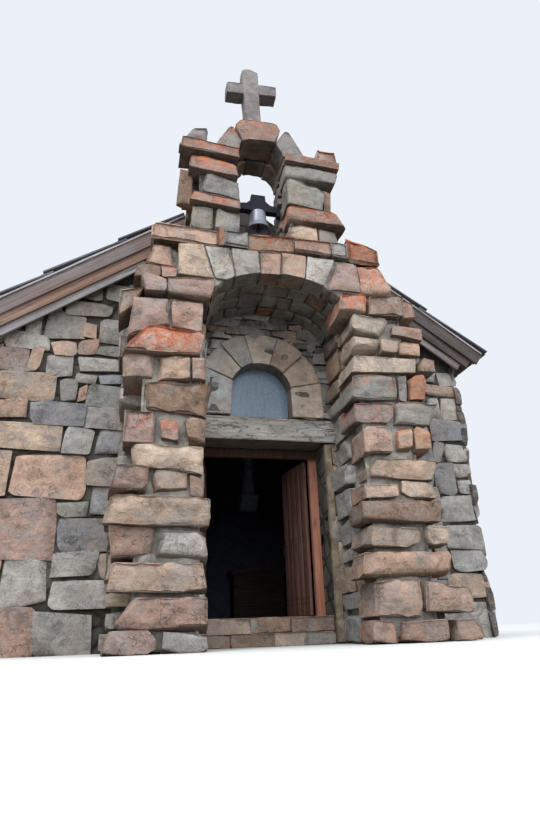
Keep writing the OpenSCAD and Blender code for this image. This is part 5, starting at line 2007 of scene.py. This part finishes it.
@dataclass
class Roof:
    """Boards, beams and verge boards of the roof."""

    finishes: Finishes
    row: Row
    plan: Plan = PLAN
    ridge: float = 6.045
    cover: float = 0.05
    course: float = 1.01
    lap: float = 0.12
    eave: float = 3.35
    verge: float = 0.30
    notch_half: float = 0.85
    notch_in: float = 0.20
    deck_short: float = 0.05
    deck: float = 0.03
    verge_lap: float = 0.025
    verge_thick: float = 0.035
    board_step: float = 0.19
    cover_wide: float = 0.15
    # The ridge cap's boards: length, width and thickness
    cap_board: tuple[float, float, float] = (1.9, 0.21, 0.028)
    # Where deck and verges start, down from the ridge
    ridge_gap: float = 0.02
    # How far out the porch's masonry reaches under the left and the right verge
    porch_reach: Pair = (1.28, 1.63)
    # Head and foot of each verge board, measured down from the deck, and how far it ends
    # short of the eaves
    layers: tuple[tuple[float, float, float], ...] = ((0.0, 0.19, 0.0), (0.17, 0.31, 0.09),
                                                      (0.29, 0.40, 0.18))

    def __post_init__(self) -> None:
        """Works out the roof's lines."""
        p = self.plan
        self.apex = self.ridge - 2 * self.cover / p.cos
        self.slope = (self.eave - 2 * self.cover * p.sin) / p.cos
        self.front = p.front - self.verge
        self.rear = p.rear + self.verge
        self.notch_y = p.front + self.notch_in
        self.notch_s = self.notch_half / p.cos

    def spot(self, side: int, down: float, out: float, y: float) -> Vector:
        """A place on a slope: down from the ridge, out from the deck, and along the building."""
        c, s = self.plan.cos, self.plan.sin
        return Vector((side * (down * c + out * s), y, self.apex - down * s + out * c))

    def build(self) -> None:
        """Fixes the deck, the roofing, the ridge cap and the verge boards."""
        for side, name in ((1, "right"), (-1, "left")):
            self.roofing(side, name)
            self.decking(side, name)
        self.cap()
        self.verges("front", self.front + self.verge_lap, 1)
        self.verges("rear", self.rear - self.verge_lap, -1)
        for node in ("ridge_beam", "purlins", "wall_plates"):
            paint_node(node, self.finishes.beams)

    def strip(self, side: int, down: Pair, over: Pair, thick: float, span: Pair, seed: int,
              material: bpy.types.Material, covers: bool = False) -> bpy.types.Mesh:
        """A row of boards that run down a slope.

        Args:
            side: 1 for the right slope, -1 for the left.
            down: Where the boards start and end, down from the ridge.
            over: The heights of their undersides over the deck there.
            thick: Their thickness.
            span: The front and the rear edge of the row.
            seed: Picks the random numbers.
            material: Their finish.
            covers: Whether they cover the joints of other boards.

        Returns:
            The mesh of the row.
        """
        length = down[1] - down[0]
        shift = self.board_step / 2 if covers else 0.0
        count = max(1, round((span[1] - span[0] - shift) / self.board_step))
        step = (span[1] - span[0] - shift) / count
        tilt = math.atan2(over[1] - over[0], length)
        pitch = self.plan.pitch
        one = Carpentry("board", seed)
        one.board(Vector(), Vector((1, 0, 0)), Vector((0, 1, 0)), length,
                  self.cover_wide if covers else step - 0.006, thick, 0.003, 0.003, 0.22)
        place = self.spot(side, down[0], over[0] + thick / 2, span[0] + shift + step / 2)
        turn = pitch - tilt if side > 0 else math.pi - pitch + tilt
        return self.row.repeat(one.piece(material), count=count, step=(0.0, step, 0.0),
                               spread=(0.010, 0.004, 0.0015), sway=(0.006, 0.0, 0.004),
                               place=tuple(place), turn=(0.0, turn, 0.0), seed=seed,
                               finish=material)

    def roofing(self, side: int, name: str) -> None:
        """Fixes the courses: boards side by side, and boards that cover their joints.

        Args:
            side: 1 for the right slope, -1 for the left.
            name: The slope's name.
        """
        meshes = []
        wood = self.finishes.roofing
        count = round(self.slope / self.course)
        first = self.slope - self.course * (count - 1)
        half = self.cover / 2
        for i in range(count):
            end = first + self.course * i
            start = max(0.03, end - self.course - self.lap)
            low = self.cover - self.cover * (end - start) / (self.course + self.lap)
            spans = [(start, self.notch_y, self.rear)]
            if end > self.notch_s:
                spans.append((max(start, self.notch_s), self.front, self.notch_y))
            for begin, y0, y1 in spans:
                lift = low + (self.cover - low) * (begin - start) / (end - start)
                seed = 1000 + 20 * i + 5 * (y1 == self.notch_y) + 10 * (side > 0)
                meshes.append(self.strip(side, (begin, end - 0.015), (lift, self.cover), half,
                                         (y0, y1), seed, wood))
                meshes.append(self.strip(side, (begin, end), (lift + half, self.cover + half),
                                         half - 0.002, (y0, y1 - self.board_step / 2), seed + 1,
                                         wood, True))
        settle(joined("roofing_boards_" + name, meshes), "chapel", "roof_boards",
               "roofing_" + name)

    def decking(self, side: int, name: str) -> None:
        """Fixes the deck boards, whose undersides show at the eaves.

        Args:
            side: 1 for the right slope, -1 for the left.
            name: The slope's name.
        """
        end = self.slope - self.deck_short
        back = self.verge_lap + self.verge_thick
        meshes = [self.strip(side, (start, end), (-self.deck, -self.deck), self.deck - 0.002,
                             span, seed, self.finishes.deck)
                  for start, span, seed in (
                      (self.ridge_gap, (self.notch_y, self.rear - back), 2000 + side),
                      (self.notch_s, (self.front + back, self.notch_y), 2010 + side))]
        settle(joined("deck_boards_" + name, meshes), "chapel", "weathered_timber",
               "roof_deck_" + name)

    def cap(self) -> None:
        """Fixes the two boards of the ridge cap."""
        low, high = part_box("ridge_cap")
        cap = Carpentry("ridge_cap_boards", 61)
        c, s = self.plan.cos, self.plan.sin
        longest, wide, thick = self.cap_board
        for side in (-1, 1):
            y = low.y
            while y < high.y - 0.01:
                length = min(longest, high.y - y)
                middle = Vector((side * wide / 2 * c, y, high.z - 0.018 - wide / 2 * s))
                cap.board(middle, Vector((0, 1, 0)), Vector((side * c, 0, -s)), length - 0.004,
                          wide, thick, 0.003)
                y += length
        cap.settle(self.finishes.roofing, "roof_boards", "ridge_cap")

    def verges(self, name: str, start: float, inward: int) -> None:
        """Fixes the stepped verge boards of one gable, and the thin strip under the roofing.

        Args:
            name: The gable's name, front or rear.
            start: The face of its outermost boards.
            inward: The direction from there towards the wall, 1 or -1.
        """
        deck_end = self.slope - self.deck_short
        f = self.finishes
        front = name == "front"
        begin = self.notch_s if front else self.ridge_gap
        woods = {-1: (f.verge, f.verge_warm, f.verge_pale),
                 1: (f.verge_dark, f.verge_dark, f.verge)}
        for side, hand in ((-1, "left"), (1, "right")):
            for i, (head, foot, short) in enumerate(self.layers):
                boards = Carpentry(f"verge_board_{name}_{hand}_{i + 1}",
                                   70 + 6 * i + 2 * side + inward)
                y = start + inward * (i + 0.5) * self.verge_thick
                clear = max(begin, self.masonry_edge(side, foot)) if front else begin
                self.plank(boards, side, (clear, deck_end - short), (head, foot), y,
                           self.verge_thick - 0.003)
                boards.settle(woods[side][i], "weathered_timber", "verge_boards_" + name)
        strip = Carpentry(f"verge_strip_{name}", 90 + inward)
        for side in (-1, 1):
            self.plank(strip, side, (begin, deck_end), (-0.002, 0.026), start - inward * 0.009,
                       0.016, 0.02)
        strip.settle(f.verge_pale, "weathered_timber")

    def masonry_edge(self, side: int, foot: float) -> float:
        """How far down the slope a board's foot clears the porch's masonry.

        Args:
            side: 1 for the right slope, -1 for the left.
            foot: The board's foot, measured down from the deck.

        Returns:
            The distance down from the ridge, or 0 where the foot lies over the masonry.
        """
        p = self.plan
        left, right = self.porch_reach
        reach, level = (left, p.bell_floor) if side < 0 else (right, p.coping)
        across = reach / p.cos
        low = self.apex - across * p.sin - foot / p.cos
        return 0.0 if low > level else across + foot * math.tan(p.pitch)

    def plank(self, boards: Carpentry, side: int, down: Pair, deep: Pair, y: float, thick: float,
              short: float = 0.0) -> None:
        """Fixes one plank along a slope.

        Args:
            boards: The piece that it belongs to.
            side: 1 for the right slope, -1 for the left.
            down: Where it starts and ends, down from the ridge.
            deep: Its head and foot, measured down from the deck.
            y: The middle of its thickness.
            thick: Its thickness.
            short: How far it stops before its end.
        """
        middle = (deep[0] + deep[1]) / 2
        start = self.spot(side, down[0], -middle, y)
        along = self.spot(side, down[1], -middle, y) - start
        across = Vector((0, 1, 0)).cross(along).normalized()
        boards.board(start, along, across, along.length - short, deep[1] - deep[0], thick, 0.005)


# Door

@dataclass
class Door:
    """Two leaves of upright planks with straps, a lock and a handle."""

    finishes: Finishes
    row: Row
    plan: Plan = PLAN
    thick: float = 0.04
    pin_in: float = 0.018
    side_gap: float = 0.006
    leaf: float = 0.687
    foot: float = 0.312
    head: float = 2.208
    open_angle: float = math.radians(80)
    clear_half: float = 0.70
    leaf_face: float = -1.97
    planks: tuple[float, ...] = (0.15, 0.13, 0.155, 0.12, 0.132)
    # The ledges behind the planks: middles of their heights, height, thickness, and how far
    # they stay off the leaf's edges
    ledges: tuple[float, ...] = (0.487, 1.217, 2.008)
    ledge_high: float = 0.13
    ledge_thick: float = 0.026
    ledge_in: float = 0.06
    # The rows of nails: their heights, and the nails in each
    nail_rows: tuple[float, ...] = (0.46, 0.52, 1.19, 1.25, 1.99, 2.05)
    nail_count: int = 10
    # The rings of a nail's head: their radius and height, the points of a ring, and the tip
    nail_rings: tuple[Pair, ...] = ((0.009, 0.0), (0.008, 0.003), (0.004, 0.0055))
    nail_sides: int = 8
    nail_tip: float = 0.007

    def build(self) -> None:
        """Hangs both leaves."""
        for side, name in ((1, "right"), (-1, "left")):
            self.hang(side, name)

    def hang(self, side: int, name: str) -> None:
        """Builds one leaf as it stands open.

        Args:
            side: 1 for the right leaf, -1 for the left.
            name: The leaf's name.
        """
        c, s = math.cos(self.open_angle), math.sin(self.open_angle)
        pin = Vector((self.plan.door_x + side * self.clear_half, self.leaf_face + self.pin_in, 0))
        away = Vector((-side * c, s, 0))
        outward = Vector((-side * s, -c, 0))
        up = Vector((0, 0, 1))
        wood = Carpentry(f"door_planks_{name}", 80 + side)
        at = self.side_gap
        total = sum(self.planks)
        for share in self.planks:
            wide = share / total * self.leaf
            middle = pin + away * (at + wide / 2) + outward * (self.pin_in + self.thick / 2)
            start = middle + up * (self.foot + wood.rng.uniform(0.0, 0.008))
            wood.board(start, up, outward.cross(up), self.head - self.foot - 0.01, wide - 0.007,
                       self.thick - 0.004, 0.004, 0.005, 0.09)
            at += wide
        inner = pin + away * (self.side_gap + self.ledge_in) - outward * (0.014 - self.pin_in)
        for z in self.ledges:
            wood.board(inner + up * z, away, up, self.leaf - 1.5 * self.ledge_in, self.ledge_high,
                       self.ledge_thick, 0.003, 0.006, 0.1)
        wood.settle(self.finishes.door, "door_timber", f"door_leaf_{name}", body=f"{name}_door")
        paint_node(f"door_hinges_{name}", self.finishes.iron)
        if side > 0:
            paint_node("door_lock", self.finishes.iron)
        self.nails(side, name, pin, away, outward)

    def nail(self) -> bpy.types.Object:
        """Forges one rose-headed nail.

        Returns:
            Its object, linked to the scene.
        """
        n = self.nail_sides
        turns = [2 * math.pi * k / n for k in range(n)]
        points = [Vector()]
        points += [Vector((r * math.cos(a), r * math.sin(a), h))
                   for r, h in self.nail_rings for a in turns]
        points.append(Vector((0, 0, self.nail_tip)))
        tip = len(points) - 1
        faces = []
        for k in range(n):
            after = (k + 1) % n
            faces += [(0, 1 + after, 1 + k), (tip - n + k, tip - n + after, tip)]
            faces += [(base + k, base + after, base + n + after, base + n + k)
                      for base in range(1, tip - n, n)]
        mesh = bpy.data.meshes.new("nail")
        mesh.from_pydata(points, [], faces)
        mesh.shade_smooth()
        mesh.materials.append(self.finishes.iron)
        thing = bpy.data.objects.new("nail", mesh)
        bpy.context.scene.collection.objects.link(thing)
        return thing

    def nails(self, side: int, name: str, pin: Vector, away: Vector, outward: Vector) -> None:
        """Drives two rows of rose-headed nails through each ledge.

        Args:
            side: 1 for the right leaf, -1 for the left.
            name: The leaf's name.
            pin: The foot of the line on which the leaf turns.
            away: The direction from there along the leaf.
            outward: The direction that the leaf's outer face looks in.
        """
        step = self.leaf / self.nail_count
        place = (pin + away * (self.side_gap + step / 2)
                 + outward * (self.pin_in + self.thick - 0.003))
        turn = outward.to_track_quat("Z", "Y").to_euler()
        local_step = turn.to_matrix().inverted() @ (away * step)
        meshes = []
        for i, z in enumerate(self.nail_rows):
            place.z = z
            meshes.append(self.row.repeat(self.nail(), count=self.nail_count,
                                          step=tuple(local_step), spread=(0.004, 0.004, 0.0),
                                          sway=(0.1, 0.1, 0.5), place=tuple(place),
                                          turn=tuple(turn), seed=90 + i + 10 * side,
                                          finish=self.finishes.iron))
        settle(joined(f"door_nails_{name}", meshes), f"{name}_door", "dark_iron")


# Bell

@dataclass
class Bell:
    """The bell, its clapper and its yoke."""

    finishes: Finishes

    def build(self) -> None:
        """Paints the bell's nodes."""
        paint_node("bell", self.finishes.bronze)
        paint_node("bell_yoke", self.finishes.yoke)
        paint_node("bell_clapper", self.finishes.iron)
        paint_node("bell_bearings", self.finishes.yoke)


@dataclass
class Inside:
    """What stands in the room."""

    finishes: Finishes

    def build(self) -> None:
        """Paints the altar and the figure."""
        paint_node("altar", self.finishes.altar)
        p = Paint("plaster_figure")
        cloud = p.span(p.noise(p.place, 6.0, 5, 0.6), *USUAL)
        plaster = p.mixed(cloud, (0.66, 0.69, 0.78), (0.80, 0.83, 0.90))
        paint_node("figure", p.done(plaster, 0.8, p.dented(p.noise(p.place, 40.0, 4), 0.3, 0.004)))


# Light and camera

@dataclass
class Stage:
    """The floor, the pale surroundings, the light and the camera."""

    seat: tuple[float, float, float] = (-1.308, -8.86, 0.151)
    focal_px: float = 572.0
    frame_px: tuple[int, int] = (540, 816)
    pitch: float = math.radians(21.345)
    yaw: float = math.radians(13.890)
    roll: float = math.radians(-2.081)
    sky: Colour = (0.925, 0.945, 0.975)
    ground: Colour = (0.84, 0.84, 0.83)
    sensor: float = 36.0
    # How strong the sky lights the building from above and from the horizon
    zenith: float = 1.95
    horizon: float = 0.60
    skylight: Colour = (0.95, 0.97, 1.0)
    # The floor's colour for the light that it throws back, and half of its width
    ground_glow: Colour = (0.45, 0.45, 0.42)
    floor_half: float = 60.0
    # The lamps: their names, places, sizes and watts, and the place that they aim at
    lamp_rows: tuple[tuple[str, tuple[float, float, float], float, float], ...] = (
        ("left", (-7.0, -9.5, 12.0), 5.0, 900.0), ("front", (-2.0, -15.0, 5.0), 7.0, 430.0),
        ("right", (8.0, -12.0, 8.0), 7.0, 500.0))
    aim: tuple[float, float, float] = (0.0, -1.0, 2.5)

    def build(self) -> None:
        """Sets the whole stage."""
        self.camera()
        self.floor()
        self.world()
        self.lamps()

    def camera(self) -> None:
        """Puts the camera where the photograph was taken."""
        data = bpy.data.cameras.new("camera")
        data.sensor_fit = "VERTICAL"
        data.sensor_height = self.sensor
        data.lens = self.focal_px * self.sensor / self.frame_px[1]
        data.clip_end = 200.0
        thing = bpy.data.objects.new("camera", data)
        cos, sin = math.cos(self.pitch), math.sin(self.pitch)
        ahead = Vector((math.sin(self.yaw) * cos, math.cos(self.yaw) * cos, sin))
        right = Vector((math.cos(self.yaw), -math.sin(self.yaw), 0))
        up = right.cross(ahead)
        cos, sin = math.cos(self.roll), math.sin(self.roll)
        matrix = thing.matrix_world.to_3x3()
        matrix.col[0], matrix.col[1] = right * cos + up * sin, up * cos - right * sin
        matrix.col[2] = -ahead
        thing.matrix_world = matrix.to_4x4()
        thing.location = self.seat
        bpy.context.scene.collection.objects.link(thing)
        bpy.context.scene.camera = thing

    def seen_share(self, g: Graph) -> Socket:
        """How far a ray shows what it hits.

        Args:
            g: The tree that asks.

        Returns:
            1 where the ray comes from the camera, a mirror or glass, and 0 where it only lights.
        """
        path = g.add("ShaderNodeLightPath").outputs
        seen = path["Is Camera Ray"]
        for kind in ("Is Glossy Ray", "Is Transmission Ray"):
            seen = g.add("ShaderNodeMath", {0: seen, 1: path[kind]},
                         operation="MAXIMUM").outputs[0]
        return seen

    def floor(self) -> None:
        """Lays the pale floor, which looks pale but throws little light back."""
        far = self.floor_half
        mesh = bpy.data.meshes.new("floor")
        mesh.from_pydata([(-far, -far, 0), (far, -far, 0), (far, far, 0), (-far, far, 0)], [],
                         [(0, 1, 2, 3)])
        p = Paint("pale_floor")
        colour = p.mixed(self.seen_share(p), self.ground_glow, self.ground)
        mesh.materials.append(p.done(colour, 0.9, Specular_IOR_Level=0.1))
        thing = bpy.data.objects.new("floor", mesh)
        bpy.context.scene.collection.objects.link(thing)

    def world(self) -> None:
        """Sets a soft grey sky that looks pale behind the building."""
        world = bpy.data.worlds.new("sky")
        bpy.context.scene.world = world
        world.use_nodes = True
        g = Graph(world.node_tree)
        facing = g.add("ShaderNodeTexCoord").outputs["Generated"]
        up = g.add("ShaderNodeSeparateXYZ", {0: facing}).outputs[2]
        strength = g.add("ShaderNodeMapRange", {
            "Value": up, "From Min": 0.0, "From Max": 1.0, "To Min": self.horizon,
            "To Max": self.zenith}).outputs[0]
        light, seen = (g.add("ShaderNodeBackground",
                             {"Color": (*linear(colour), 1.0), "Strength": power}).outputs[0]
                       for colour, power in ((self.skylight, strength), (self.sky, 1.0)))
        mixed = g.add("ShaderNodeMixShader", {0: self.seen_share(g), 1: light, 2: seen})
        g.add("ShaderNodeOutputWorld", {0: mixed.outputs[0]})

    def lamps(self) -> None:
        """Hangs large soft lamps in front: high at the left, in the middle, at the right."""
        for name, place, size, power in self.lamp_rows:
            data = bpy.data.lights.new(name, "AREA")
            data.size = size
            data.energy = power
            thing = bpy.data.objects.new(name, data)
            thing.location = place
            aim = Vector(self.aim) - Vector(place)
            thing.rotation_euler = aim.to_track_quat("-Z", "Y").to_euler()
            bpy.context.scene.collection.objects.link(thing)


def main() -> None:
    """Builds everything in order."""
    logging.basicConfig(level=logging.INFO, format="%(message)s")
    bpy.context.scene.view_settings.view_transform = "Standard"
    Stage().build()
    finishes = Finishes()
    row = Row()
    Walls(finishes).build()
    Pier("left_pier_stones", "porch_pier_left", 21, -1, LEFT_PIER, finishes).build()
    Pier("right_pier_stones", "porch_pier_right", 22, 1, RIGHT_PIER, finishes).build()
    PorchHead(finishes).build()
    BellGable(finishes).build()
    Opening(finishes).build()
    Roof(finishes, row).build()
    Door(finishes, row).build()
    Bell(finishes).build()
    Inside(finishes).build()


if __name__ == "__main__":
    main()
